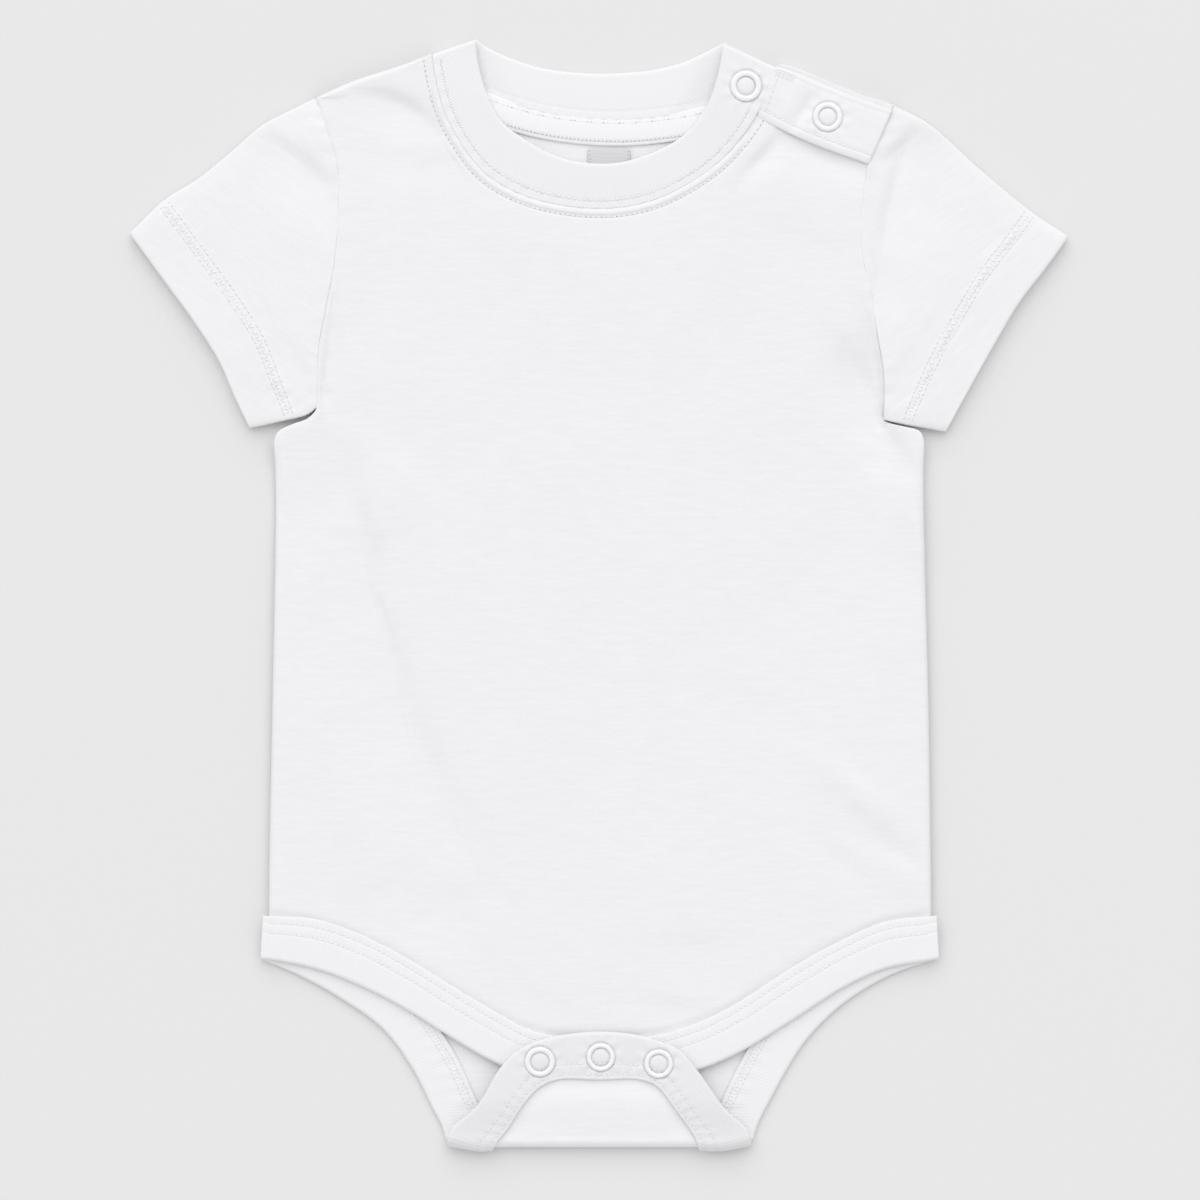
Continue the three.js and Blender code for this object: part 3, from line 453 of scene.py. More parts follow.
# Creases: start x, y, pull x, y, end x, y, width, depth (a negative depth is a ridge)
FRONT_CREASES = Creases((
    (-93, 60, -89, 34, -79, 6, 6.0, 1.9),
    (-85, 26, -80, -4, -71, -34, 6.0, 1.7),
    (-76, -12, -69, -44, -54, -72, 6.0, 1.6),
    (-62, -56, -56, -76, -42, -92, 7.0, 0.9),
    (-78, 50, -66, 40, -58, 26, 7.0, -0.9),
    (-110, 42, -103, 30, -105, 12, 4.5, 0.6),
    (100, 52, 96, 72, 96.4, 93, 3.4, 2.6),
    (97, 66, 101, 56, 105, 40, 3.0, 1.0),
    (-95.5, 56, -94, 76, -93.5, 97, 2.8, 1.3),
    (104, 50, 111, 30, 112.5, 8, 3.5, -0.9),
    (103, 44, 107, 22, 108, -4, 3.5, 0.9),
    (76, -64, 95, -82, 112, -97, 3.4, 1.0),
    (68, -82, 84, -94, 103, -106, 3.4, 0.75),
    (74, -56, 94, -70, 113, -87, 4.0, -0.8),
    (92, -88, 104, -96, 116, -101, 3.0, -0.9),
    (58, -77, 76, -92, 95, -109, 4.5, -0.6),
    (-60, -92, -68, -101, -80, -107, 5.0, 0.55),
    (-50, -106, -58, -113, -68, -117, 4.5, 0.45),
    (-92, -104, -66, -110, -38, -104, 5.0, 0.4),
    (-100, -62, -98, -80, -88, -100, 6.0, 0.6),
    (54, -6, 40, -20, 22, -31, 10.0, 0.4),
    (22, -32, 44, -38, 64, -43, 7.0, 0.5),
    (-86, 174, -67, 175.5, -55, 158.5, 3.2, 2.1),
    (-80, 154, -66, 148.5, -48, 148, 4.5, 0.6),
    (-90, 146, -70, 140, -48, 138, 6.0, -0.4),
    (-92, 92, -84, 80, -80, 66, 6.0, -0.6),
    (84, 89, 92, 77, 101, 57, 2.8, 1.5),
    (93.5, 98, 96.5, 84, 98.3, 66, 1.3, 1.0),
    (101, 57, 107, 50, 110, 38, 2.4, 1.1),
    (-92, 104, -94.5, 84, -96.6, 66, 1.5, 0.7),
    (-111.7, 54, -111.5, 40, -111.3, 26, 0.45, 0.4),
    (14, -141, 26, -145, 39, -146, 2.6, 0.9),
    (18, -122, 34, -124, 50, -123, 4.0, 0.5),
    (-30, -137, -20, -143, -8, -146, 3.0, 0.4),
    (-20, 120, -34, 96, -52, 74, 12.0, 0.4),
    (34, 118, 46, 92, 66, 66, 12.0, 0.35),
), 3.6)
OPENING_CREASES = Creases((
    (66, 159.8, 79, 153.2, 95, 147.2, 2.6, 1.25),
    (64.5, 160.5, 57.5, 153.5, 50, 145, 2.2, 1.4),
    (59.5, 164.5, 53.5, 157.5, 47, 150, 2.6, -0.35),
    (44, 150, 62, 142, 84, 138, 7.0, -0.35),
    (56, 126, 74, 122, 92, 114, 6.0, 0.45),
))
SLEEVE_CREASES = Creases((
    (-117.5, 160, -105, 152, -94, 141, 3.6, 1.7),
    (-100, 150, -97, 140, -93, 126, 4.0, 0.7),
    (-100, 168, -97, 160, -93, 154, 2.6, -0.5),
    (-128, 146, -118, 124, -108, 106, 9.0, 0.5),
    (-112, 92, -106, 80, -101, 68, 4.0, 1.0),
    (-120, 74, -112, 68, -103, 66, 3.0, 0.6),
    (-146, 134, -138, 120, -130, 104, 5.0, 0.35),
    (110.5, 164, 103, 140, 98, 118, 3.5, 2.0),
    (97, 149, 104, 154, 112.5, 162.5, 2.4, 1.3),
    (97, 95, 96.5, 106, 98, 118, 3.5, 1.2),
    (110, 152, 118, 132, 120, 108, 9.0, 0.55),
    (112, 88, 106, 76, 102, 64, 4.0, 0.8),
    (128, 140, 140, 122, 140, 104, 6.0, 0.4),
), 3.6)


@dataclass(frozen=True)
class Snap:
    """One ring snap: its name, place and radii in millimetres, and the height of its cloth."""

    name: str
    x: float
    y: float
    outer: float
    hole: float
    cloth: float


SNAPS = (
    Snap("neckband", 51.3, 177.7, 5.4, 3.4, STACK.front_band + 1.2 + STACK.band * 1.04),
    Snap("shoulder", 79.8, 166.9, 5.1, 3.3, STACK.placket + STACK.jersey + 0.25),
    Snap("crotch_right", -20.6, -162.7, 5.2, 3.4, STACK.flap + STACK.binding),
    Snap("crotch_middle", 0.6, -161.1, 4.9, 3.3, STACK.flap + STACK.binding),
    Snap("crotch_left", 20.8, -163.4, 5.0, 3.4, STACK.flap + STACK.binding),
)


def snap_pull(x: Array, y: Array) -> Array:
    """How the snaps shape the cloth: pressed down under each ring and domed inside its hole."""
    total = np.zeros(np.shape(x))
    for snap in SNAPS:
        far = np.hypot(x - snap.x, y - snap.y)
        around = np.arctan2(y - snap.y, x - snap.x)
        dome = 0.62 * np.clip(1 - (far / (snap.hole * 0.96)) ** 2, 0, 1) ** 0.8
        dent = -0.6 * bell((far - snap.outer - 0.05) / 0.42) - 0.5 * bell((far - snap.hole + 0.15) / 0.36)
        rays = 0.16 * np.sin(9 * around + snap.x) * bell((far - snap.outer - 1.5) / 1.8)
        total = total + dome + dent + rays
    return total


# Meshes


@dataclass
class Surface:
    """Points, faces and flat cloth coordinates of one piece, in millimetres."""

    points: Array
    faces: list[Array]
    cloth: Array

    def make(self, name: str, material: bpy.types.Material) -> bpy.types.Object:
        """Puts the surface into a Blender mesh in metres.

        Args:
            name: The new object's name.
            material: Its only material.

        Returns:
            The object, linked to the scene, smooth shaded.
        """
        corners = np.concatenate([faces.ravel() for faces in self.faces])
        sizes = np.concatenate([np.full(len(faces), faces.shape[1]) for faces in self.faces])
        mesh = bpy.data.meshes.new(name)
        mesh.vertices.add(len(self.points))
        mesh.vertices.foreach_set("co", (self.points * MM).ravel())
        mesh.loops.add(len(corners))
        mesh.loops.foreach_set("vertex_index", corners.astype(np.int32))
        mesh.polygons.add(len(sizes))
        starts = np.concatenate([[0], np.cumsum(sizes)[:-1]])
        mesh.polygons.foreach_set("loop_start", starts.astype(np.int32))
        mesh.polygons.foreach_set("use_smooth", np.ones(len(sizes), bool))
        mesh.update(calc_edges=True)
        layer = mesh.uv_layers.new(name="cloth")
        layer.data.foreach_set("uv", (self.cloth[corners] * MM).ravel())
        mesh.materials.append(material)
        mesh.validate()
        obj = bpy.data.objects.new(name, mesh)
        bpy.context.scene.collection.objects.link(obj)
        return obj


def grid_faces(rows: int, across: int, closed: bool = False) -> Array:
    """Quads of a grid of points that is stored row by row.

    Args:
        rows: Number of rows.
        across: Points in each row.
        closed: Whether each row joins up with its own start.

    Returns:
        One quad per row of the array.
    """
    index = np.arange(rows * across).reshape(rows, across)
    if closed:
        index = np.concatenate([index, index[:, :1]], axis=1)
    quads = (index[:-1, :-1], index[:-1, 1:], index[1:, 1:], index[1:, :-1])
    return np.stack(quads, axis=-1).reshape(-1, 4)


def outward(points: Array, quads: Array) -> bool:
    """Whether the quads of a nearly closed surface look outwards: their signed volume is positive."""
    middle = points.mean(axis=0)
    a, b, c, d = (points[quads[:, k]] - middle for k in range(4))
    volume = np.einsum("ij,ij->i", a, np.cross(b, c)) + np.einsum("ij,ij->i", a, np.cross(c, d))
    return float(volume.sum()) > 0


def shell(outer: Array, inner: Array, cloth: Array) -> Surface:
    """A closed cloth wall from its outer and inner grid.

    The two grids have the same rows and columns. A strip of quads joins their borders, so the wall
    is one closed body whose outer face looks along the cross product of rows and columns.

    Args:
        outer: Points of the outer face, rows by columns by 3.
        inner: Points of the inner face.
        cloth: Flat cloth coordinates of the grid.

    Returns:
        The wall.
    """
    rows, across = outer.shape[:2]
    count = rows * across
    faces = grid_faces(rows, across)
    index = np.arange(count).reshape(rows, across)
    border = np.concatenate([index[0, :-1], index[:-1, -1], index[-1, :0:-1], index[:0:-1, 0]])
    following = np.roll(border, -1)
    rim = np.stack([border, border + count, following + count, following], axis=-1)
    both = np.concatenate([outer.reshape(-1, 3), inner.reshape(-1, 3)])
    flat = cloth.reshape(-1, 2)
    return Surface(both, [faces, faces[:, ::-1] + count, rim], np.concatenate([flat, flat]))


def strip(rings: Array, cloth: Array) -> Surface:
    """A closed strip from rings of points, one after the other, with a cap on each end.

    Args:
        rings: Stations by ring points by 3; the ring runs so that its normal looks outwards.
        cloth: Flat cloth coordinates of the rings.

    Returns:
        The strip.
    """
    count, ring = rings.shape[:2]
    sides = grid_faces(count, ring, closed=True)
    start = np.arange(ring)[None, ::-1]
    end = np.arange(ring)[None, :] + (count - 1) * ring
    surface = Surface(rings.reshape(-1, 3), [sides, start, end], cloth.reshape(-1, 2))
    if not outward(surface.points, sides):
        surface.faces = [faces[:, ::-1] for faces in surface.faces]
    return surface


def hoop(rings: Array) -> Surface:
    """A closed wall from rings of points whose last ring joins the first one.

    Args:
        rings: Stations by ring points by 3.

    Returns:
        The wall, with its cloth coordinates seen from above.
    """
    count, ring = rings.shape[:2]
    first = np.arange(ring)
    last = (count - 1) * ring + first
    closing = np.stack([last, np.roll(last, -1), np.roll(first, -1), first], axis=-1)
    quads = np.concatenate([grid_faces(count, ring, closed=True), closing])
    points = rings.reshape(-1, 3)
    if not outward(points, quads):
        quads = quads[:, ::-1]
    return Surface(points, [quads], points[:, :2].copy())


def ruled(near: Any, far: Any, v: Array, share: Array) -> Array:
    """Flat places at shares along two lines and at shares of the way from one to the other."""
    return near.at(v)[:, None] * (1 - share)[None, :, None] + far.at(v)[:, None] * share[None, :, None]


def cloth_map(along: Array, across: Array) -> Array:
    """Flat cloth coordinates of a strip's rings: how far along it and how far across."""
    return np.stack(np.broadcast_arrays(along[:, None], across[None]), axis=-1)


# Materials


class Socket:
    """A node's output, or a number, that adds Math nodes as it is reckoned with."""

    def __init__(self, tree: bpy.types.NodeTree, value: Any) -> None:
        """Wraps an output socket or a number."""
        self.tree = tree
        self.value = value

    def _math(self, operation: str, *others: Any, reflected: bool = False) -> "Socket":
        """Adds one Math node and gives its output.

        Args:
            operation: The Math node's operation.
            others: The other numbers or sockets.
            reflected: Whether this socket comes second.

        Returns:
            The node's output.
        """
        node = self.tree.nodes.new("ShaderNodeMath")
        node.operation = operation
        terms = [self.value, *(o.value if isinstance(o, Socket) else o for o in others)]
        if reflected:
            terms.reverse()
        for place, term in enumerate(terms):
            if isinstance(term, (int, float)):
                node.inputs[place].default_value = term
            else:
                self.tree.links.new(term, node.inputs[place])
        return Socket(self.tree, node.outputs[0])

    def __add__(self, other: Any) -> "Socket":
        """Sum."""
        return self._math("ADD", other)

    __radd__ = __add__

    def __sub__(self, other: Any) -> "Socket":
        """Difference."""
        return self._math("SUBTRACT", other)

    def __rsub__(self, other: Any) -> "Socket":
        """Difference from a number."""
        return self._math("SUBTRACT", other, reflected=True)

    def __mul__(self, other: Any) -> "Socket":
        """Product."""
        return self._math("MULTIPLY", other)

    __rmul__ = __mul__

    def __pow__(self, other: Any) -> "Socket":
        """Power."""
        return self._math("POWER", other)

    def wave(self) -> "Socket":
        """Sine."""
        return self._math("SINE")


class Shader:
    """A material's node tree, with one method for any node."""

    def __init__(self, name: str) -> None:
        """Starts a material with only an output and a Principled shader."""
        self.material = bpy.data.materials.new(name)
        self.material.use_nodes = True
        self.tree = self.material.node_tree
        self.tree.nodes.clear()
        self.output = self.node("ShaderNodeOutputMaterial")
        self.surface = self.node("ShaderNodeBsdfPrincipled")
        self.tree.links.new(self.surface.outputs["BSDF"], self.output.inputs["Surface"])

    def node(
        self, kind: str, settings: dict[str, Any] | None = None, inputs: dict[Any, Any] | None = None
    ) -> Any:
        """Adds a node, sets it up, then fills or links its sockets.

        Args:
            kind: The node's type.
            settings: Its properties, set first.
            inputs: Values or outputs for its sockets, by name or place.

        Returns:
            The node.
        """
        made = self.tree.nodes.new(kind)
        for key, value in (settings or {}).items():
            setattr(made, key, value)
        for key, value in (inputs or {}).items():
            value = value.value if isinstance(value, Socket) else value
            if isinstance(value, bpy.types.NodeSocket):
                self.tree.links.new(value, made.inputs[key])
            else:
                made.inputs[key].default_value = value
        return made

    def socket(self, output: Any) -> Socket:
        """Wraps an output for reckoning."""
        return Socket(self.tree, output)

    def coordinates(self, where: "Where", turn: float = 0.0) -> Any:
        """Coordinates in metres, from the object or from the piece's own cloth map.

        Args:
            where: Which coordinates to read.
            turn: Turn about the vertical, in degrees.

        Returns:
            The Mapping node's output.
        """
        if where is Where.CLOTH:
            source = self.node("ShaderNodeUVMap", {"uv_map": "cloth"}).outputs["UV"]
        else:
            source = self.node("ShaderNodeTexCoord").outputs["Object"]
        return self.node(
            "ShaderNodeMapping", inputs={"Vector": source, "Rotation": (0.0, 0.0, math.radians(turn))}
        ).outputs["Vector"]

    def noise(
        self, vector: Any, scale: tuple[float, float, float], detail: float, rough: float = 0.55
    ) -> Socket:
        """Noise stretched by a scale along each axis.

        Args:
            vector: Coordinates in metres.
            scale: Features a metre along x, y and z.
            detail: The noise's detail.
            rough: The noise's roughness.

        Returns:
            Values around 0.5.
        """
        stretched = self.node("ShaderNodeMapping", inputs={"Vector": vector, "Scale": scale})
        inputs = {"Vector": stretched.outputs["Vector"], "Scale": 1.0, "Detail": detail, "Roughness": rough}
        return self.socket(self.node("ShaderNodeTexNoise", inputs=inputs).outputs["Fac"])

    def tint(self, factor: Socket, low: tuple[float, ...], high: tuple[float, ...]) -> None:
        """Blends two colours by a factor into the base colour."""
        blend = self.node(
            "ShaderNodeMix",
            {"data_type": "RGBA", "clamp_factor": True},
            {0: factor, 6: (*low, 1.0), 7: (*high, 1.0)},
        )
        self.tree.links.new(blend.outputs[2], self.surface.inputs["Base Color"])

    def cotton(self, factor: Socket, low: float, high: float) -> None:
        """Gives bleached cotton its two near-white tones and its matt, faintly downy surface."""
        self.tint(factor, (low, low, low * BLUER), (high, high, high * BLUER))
        self.settle(Roughness=0.9, Sheen_Weight=0.18, Sheen_Roughness=0.6, Specular_IOR_Level=0.2)

    def grey(self, factor: Socket, low: float, high: float) -> None:
        """Gives a dull surface two greys."""
        self.tint(factor, (low, low, low), (high, high, high))
        self.settle(Roughness=1.0, Specular_IOR_Level=0.0)

    def relief(self, height: Socket, distance: float, strength: float) -> None:
        """Feeds a height in metres-to-be into the normal.

        Args:
            height: The height, from about 0 to 1.
            distance: What 1 stands for, in metres.
            strength: The bump's strength.
        """
        bump = self.node(
            "ShaderNodeBump", inputs={"Height": height, "Distance": distance, "Strength": strength}
        )
        self.tree.links.new(bump.outputs["Normal"], self.surface.inputs["Normal"])

    def settle(self, **values: float) -> None:
        """Sets plain values on the Principled shader, by socket name with _ for a space."""
        for key, value in values.items():
            self.surface.inputs[key.replace("_", " ")].default_value = value


# Bleached cotton is a little bluer than the ground
BLUER = 1.018


class Where(Enum):
    """Which coordinates a knit follows."""

    TABLE = "object"
    CLOTH = "cloth map"


@dataclass(frozen=True)
class Jersey:
    """White single jersey with faint slubs along its courses."""

    name: str
    turn: float = 0.0
    shade: float = 0.853

    def make(self) -> bpy.types.Material:
        """Builds the material: slubs and loops shade the colour and lift the normal."""
        shader = Shader(self.name)
        place = shader.coordinates(Where.TABLE, self.turn)
        slub = shader.noise(place, (120.0, 620.0, 400.0), 4.0, 0.62)
        loops = shader.noise(place, (900.0, 1700.0, 900.0), 2.0, 0.5)
        cloudy = shader.noise(place, (18.0, 26.0, 20.0), 2.0, 0.5)
        factor = slub * 0.62 + loops * 0.23 + cloudy * 0.15
        shader.cotton((factor - 0.5) * 1.7 + 0.5, self.shade * 0.955, self.shade * 1.045)
        shader.relief(slub * 0.6 + loops * 0.4, 0.0003, 0.4)
        return shader.material


@dataclass(frozen=True)
class Rib:
    """White fine rib whose ribs run across the strip."""

    name: str
    pitch: float = 1.05
    shade: float = 0.88
    depth: float = 0.0001

    def make(self) -> bpy.types.Material:
        """Builds the material: ribs every pitch along the strip, a little uneven, each valley painted darker
        as shade and each crest lighter as highlight.
        """
        shader = Shader(self.name)
        place = shader.coordinates(Where.CLOTH)
        split = shader.node("ShaderNodeSeparateXYZ", inputs={"Vector": place})
        along = shader.socket(split.outputs["X"])
        wander = shader.noise(place, (220.0, 60.0, 1.0), 2.0)
        loops = shader.noise(place, (1100.0, 1500.0, 1.0), 2.0)
        phase = along * (math.tau / (self.pitch * MM)) + wander * 1.2
        rib = (phase.wave() * 0.5 + 0.5) ** 0.8
        # The rib wave darkens the colour in each valley and lightens it on each crest: painted shade and
        # highlight of the ribs.
        shader.cotton(rib * 0.6 + loops * 0.5 - 0.05, self.shade * 0.972, self.shade * 1.018)
        shader.relief(rib * 0.75 + loops * 0.25, self.depth, 0.7)
        return shader.material


@dataclass(frozen=True)
class Thread:
    """White sewing thread, a little glossier than the cloth."""

    name: str
    shade: float = 0.9

    def make(self) -> bpy.types.Material:
        """Builds the material: twisted plies from fine noise drawn out on a slant."""
        shader = Shader(self.name)
        place = shader.coordinates(Where.TABLE, 35.0)
        plies = shader.noise(place, (2600.0, 900.0, 900.0), 1.0)
        tone = (self.shade * 0.95, self.shade * 0.95, self.shade * 0.955)
        shader.tint(plies, tone, (self.shade, self.shade, self.shade))
        shader.relief(plies, 0.0001, 0.4)
        shader.settle(Roughness=0.65, Specular_IOR_Level=0.3)
        return shader.material


@dataclass(frozen=True)
class NeedleHole:
    """Painted shade: a grey disc that stands for the shade in the pit where a stitch dives into the cloth."""

    name: str
    shade: float = 0.5

    def make(self) -> bpy.types.Material:
        """Builds the material: dim grey painted shade, uneven from pit to pit."""
        shader = Shader(self.name)
        uneven = shader.noise(shader.coordinates(Where.TABLE), (300.0, 300.0, 300.0), 1.0)
        shader.grey(uneven, self.shade * 0.7, self.shade * 1.5)
        return shader.material


@dataclass(frozen=True)
class Enamel:
    """White enamelled metal of the ring snaps."""

    name: str

    def make(self) -> bpy.types.Material:
        """Builds the material: a soft gloss with a faint orange-peel waviness."""
        shader = Shader(self.name)
        place = shader.coordinates(Where.TABLE)
        peel = shader.noise(place, (900.0, 900.0, 900.0), 2.0)
        shader.tint(peel, (0.86, 0.86, 0.87), (0.93, 0.93, 0.935))
        shader.relief(peel, 0.00004, 0.3)
        rough = peel * 0.12 + 0.2
        shader.tree.links.new(rough.value, shader.surface.inputs["Roughness"])
        shader.settle(Specular_IOR_Level=0.5, Coat_Weight=0.4, Coat_Roughness=0.12)
        return shader.material


@dataclass(frozen=True)
class Floor:
    """The plain pale ground under the garment."""

    name: str
    shade: float = 0.794

    def make(self) -> bpy.types.Material:
        """Builds the material: matt paper with a barely seen tooth."""
        shader = Shader(self.name)
        tooth = shader.noise(shader.coordinates(Where.TABLE), (400.0, 400.0, 400.0), 2.0)
        shader.grey(tooth, self.shade * 0.995, self.shade * 1.005)
        return shader.material


class Finishes:
    """Every finish of the garment, made once."""

    def __init__(self) -> None:
        """Makes the knits, among them a lighter jersey copy and darker rib copies as painted light and shade,
        the thread, the needle pits' painted shade and the enamel.
        """
        self.body = Jersey("body_jersey").make()
        # The back panel shares the front's jersey; this copy is painted lighter to lift the flap's shaded
        # climbing slope.
        self.back = Jersey("back_jersey_painted_lighter", shade=0.885).make()
        self.sleeve_right = Jersey("right_sleeve_jersey", 34.0, 0.86).make()
        self.sleeve_left = Jersey("left_sleeve_jersey", -34.0, 0.86).make()
        self.facing = Jersey("facing_jersey", 22.0, 0.86).make()
        self.rib = Rib("fine_rib", shade=0.87, depth=0.00006).make()
        # A darker copy of the rib for the flap binding: painted shade of its tilted arms.
        self.flap_rib_painted_shade = Rib("flap_rib_painted_shade", shade=0.82).make()
        # A darker copy of the rib for the front neckband: painted shade of its tilt away from the light.
        self.front_rib_painted_shade = Rib("front_rib_painted_shade", shade=0.856, depth=0.0001).make()
        self.tape = Rib("neck_tape_knit", 0.9, 0.9, 0.00008).make()
        self.label = Rib("label_tape", 0.5, 0.7, 0.00008).make()
        self.thread = Thread("white_thread").make()
        # The needle pits' shade is painted on grey discs with this finish.
        self.hole = NeedleHole("needle_pit_painted_shade").make()
        self.enamel = Enamel("white_enamel").make()


def place_piece(piece: bpy.types.Object, slot: str, *nodes: str) -> None:
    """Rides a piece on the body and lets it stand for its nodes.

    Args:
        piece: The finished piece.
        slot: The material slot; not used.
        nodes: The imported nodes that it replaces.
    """
    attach(piece, "root")
    if nodes:
        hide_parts(*nodes)
    log.info("%s: %d faces", piece.name, len(piece.data.polygons))


# Panels


# Where the neck starts and ends, as shares of the way from shoulder to shoulder
NECK_START = 0.2
NECK_END = 0.8
# How far the front runs under its neighbours, and the radius of a rolled seam edge
NECK_TUCK = 0.12
ARMHOLE_TUCK = 0.45
SEAM_ROLL = 0.7
# Shares of the way up where the front's side fold and its underarm end, and the same for the back
SIDE_END = 0.56
UNDERARM_END = 0.61
BACK_SIDE_END = 0.74
BACK_UNDERARM_END = 0.77
# Levels along y where the underarm and the armhole start, and the corner that holds the opening
UNDERARM_LEVEL = 44.0
ARMHOLE_LEVEL = 66.0
OPENING_CORNER = (50.0, 130.0)
# How much fuller the side folds are than the outline's tables
SIDE_FULLNESS = 0.4
# How far the crotch fold's outer corners rise, over what reach, and the dip inside its binding
CORNER_RISE = 2.2
CORNER_REACH = 10.0
BINDING_DIP = 0.5
# Stitch rows: distances from the sleeve's hem, the band's fold, the tape's low edge and the neck seam
HEM_ROWS = (14.2, 17.7)
BAND_ROW = 12.5
TAPE_ROW = 1.6
PANEL_ROW = 2.9
# The label: its sides across, its ends along, and the rows that hold it
LABEL_SIDES = (-3.9, 10.9)
LABEL_ENDS = (142.5, 156.0)
LABEL_ROWS = (-3.2, 10.2)
LABEL_ROW_ENDS = (143.0, 155.0)


def patch(
    left: Chain, right: Chain, top: Any, bottom: Any, reach: tuple[float, float, float], u: Array, v: Array,
) -> Array:
    """Rows from the left edge to the right one, bent towards the top and bottom edges near them.

    A point is the straight blend of the two sides at its row, plus the top edge's own departure
    from that blend, faded in by a soft step above the first reach, plus the bottom edge's, faded
    out below the second. Over the shoulders the departure fades, so the sides keep their line.
    Above the third reach the middle columns stand upright, so none crosses a steep neck edge.

    Args:
        left: The left edge from bottom to top.
        right: The right edge from bottom to top.
        top: The top edge from left to right.
        bottom: The bottom edge from left to right.
        reach: Where the top's pull starts, the bottom's ends and the columns turn upright, as
            shares of the height.
        u: Shares across, one per column.
        v: Shares up, one per row.

    Returns:
        Rows by columns by 2.
    """
    rows = ruled(left, right, v, u)
    drift = rows[..., 0] - rows[-1:, :, 0]
    middle = smooth(u / NECK_START) * smooth((1 - u) / NECK_START)
    rows[..., 0] -= drift * middle[None] * smooth((v - reach[2]) / 0.2)[:, None]

    def bend(edge: Any, level: float) -> Array:
        """The edge's departure from the row at a level."""
        ends = np.array([level])
        start, end = left.at(ends)[0], right.at(ends)[0]
        line = edge.at(u)
        miss_start = (line[0] - start) * np.clip(1 - u / NECK_START, 0, 1)[:, None]
        miss_end = (line[-1] - end) * np.clip((u - NECK_END) / (1 - NECK_END), 0, 1)[:, None]
        return line - mix(start, end, u[:, None]) - miss_start - miss_end

    rows = rows + bend(top, 1.0)[None] * smooth((v - reach[0]) / (1 - reach[0]))[:, None, None]
    return rows + bend(bottom, 0.0)[None] * (1 - smooth(v / reach[1]))[:, None, None]


def seam_depth(x: Array, y: Array) -> Array:
    """Share of the full roll along an armhole: deep at the right head and at the left underarm."""
    return mix(0.25, 1.1, np.where(x < 0, smooth((y - 130) / 25), 1.2 - 1.2 * smooth((y - 70) / 14)))


def raw_edge(rails: tuple[Path, Path]) -> Path:
    """The panel's cut edge inside a binding, from the binding's free edge and its ridge."""
    t = np.linspace(0, 1, 600)
    share = (STACK.opens_at + 2.5 * STACK.gap) / STACK.binding_width
    return Path(mix(rails[0].at(t), rails[1].at(t), share))


def fold_up(x: Array, y: Array, rise: Array) -> Array:
    """Takes the flat back panel to its folded place.

    Above the fold line nothing moves. Through the fold a point turns about a level axis half the
    fold's height up, at that half less its rise. Past it the cloth lies face up over the front and
    climbs by a soft step to the snaps. Near the fold its outer corners rise a little along y.

    Args:
        x: Places across, in millimetres.
        y: Places along the unfolded panel.
        rise: Height above the garment's outside face.

    Returns:
        Folded points, in the shape of x by 3.
    """
    radius = STACK.fold_height / 2
    past = STACK.fold_line - y
    turn = math.pi * np.clip(past / STACK.fold_length, 0, 1)
    up = np.maximum(past - STACK.fold_length, 0)
    climb = STACK.climb * smooth(up / (STACK.climb_end - STACK.fold_line))
    around_y = STACK.fold_line - (radius - rise) * np.sin(turn) + up
    around_z = radius - (radius - rise) * np.cos(turn) + climb
    folded = np.where(past > 0, around_y, y)
    corner = CORNER_RISE * smooth((np.abs(x) - 36) / 24) - BINDING_DIP * bell((np.abs(x) - 43) / 5)
    folded = folded + corner * bell((folded - STACK.fold_line) / CORNER_REACH)
    return np.stack([x, folded, np.where(past > 0, around_z, rise)], axis=-1)


class Rails:
    """The two edges of each binding: its free edge and its ridge."""

    def __init__(self) -> None:
        """Works out the edges of the front, back and flap bindings."""
        quarter = STACK.fold_line - STACK.fold_length / 2
        self.front = (Path.through(FRONT_BINDING_FREE), Path.through(FRONT_BINDING_RIDGE))
        start = STACK.fold_line - STACK.fold_length
        unfolded = [Path.through([(x, start - up) for x, up in table]) for table in (FLAP_FREE, FLAP_RIDGE)]
        self.flap = tuple(path.past_level(quarter - STACK.gap) for path in unfolded)
        self.back_right = self._leg(BACK_FREE_RIGHT, 1, quarter + STACK.gap)
        self.back_left = self._leg(BACK_FREE_LEFT, -1, quarter + STACK.gap)

    def _leg(self, table: Sequence[Row], side: int, level: float) -> tuple[Path, Path]:
        """The two edges of one back binding, down to the fold."""
        free = Path.through(table)
        return free.past_level(level), free.beside(side * STACK.binding_width).past_level(level)


def panel_edge(side: Sequence[Row], underarm: Sequence[Row], armhole: Sequence[Row], inward: float) -> Chain:
    """One side of the front panel, from the leg to the shoulder, its side fold a little fuller."""
    return Chain((
        (Path.through(side).shifted(math.copysign(SIDE_FULLNESS, inward)), SIDE_END),
        (Path.through(underarm), UNDERARM_END),
        (Path.through(armhole).shifted(inward), 1.0),
    ))


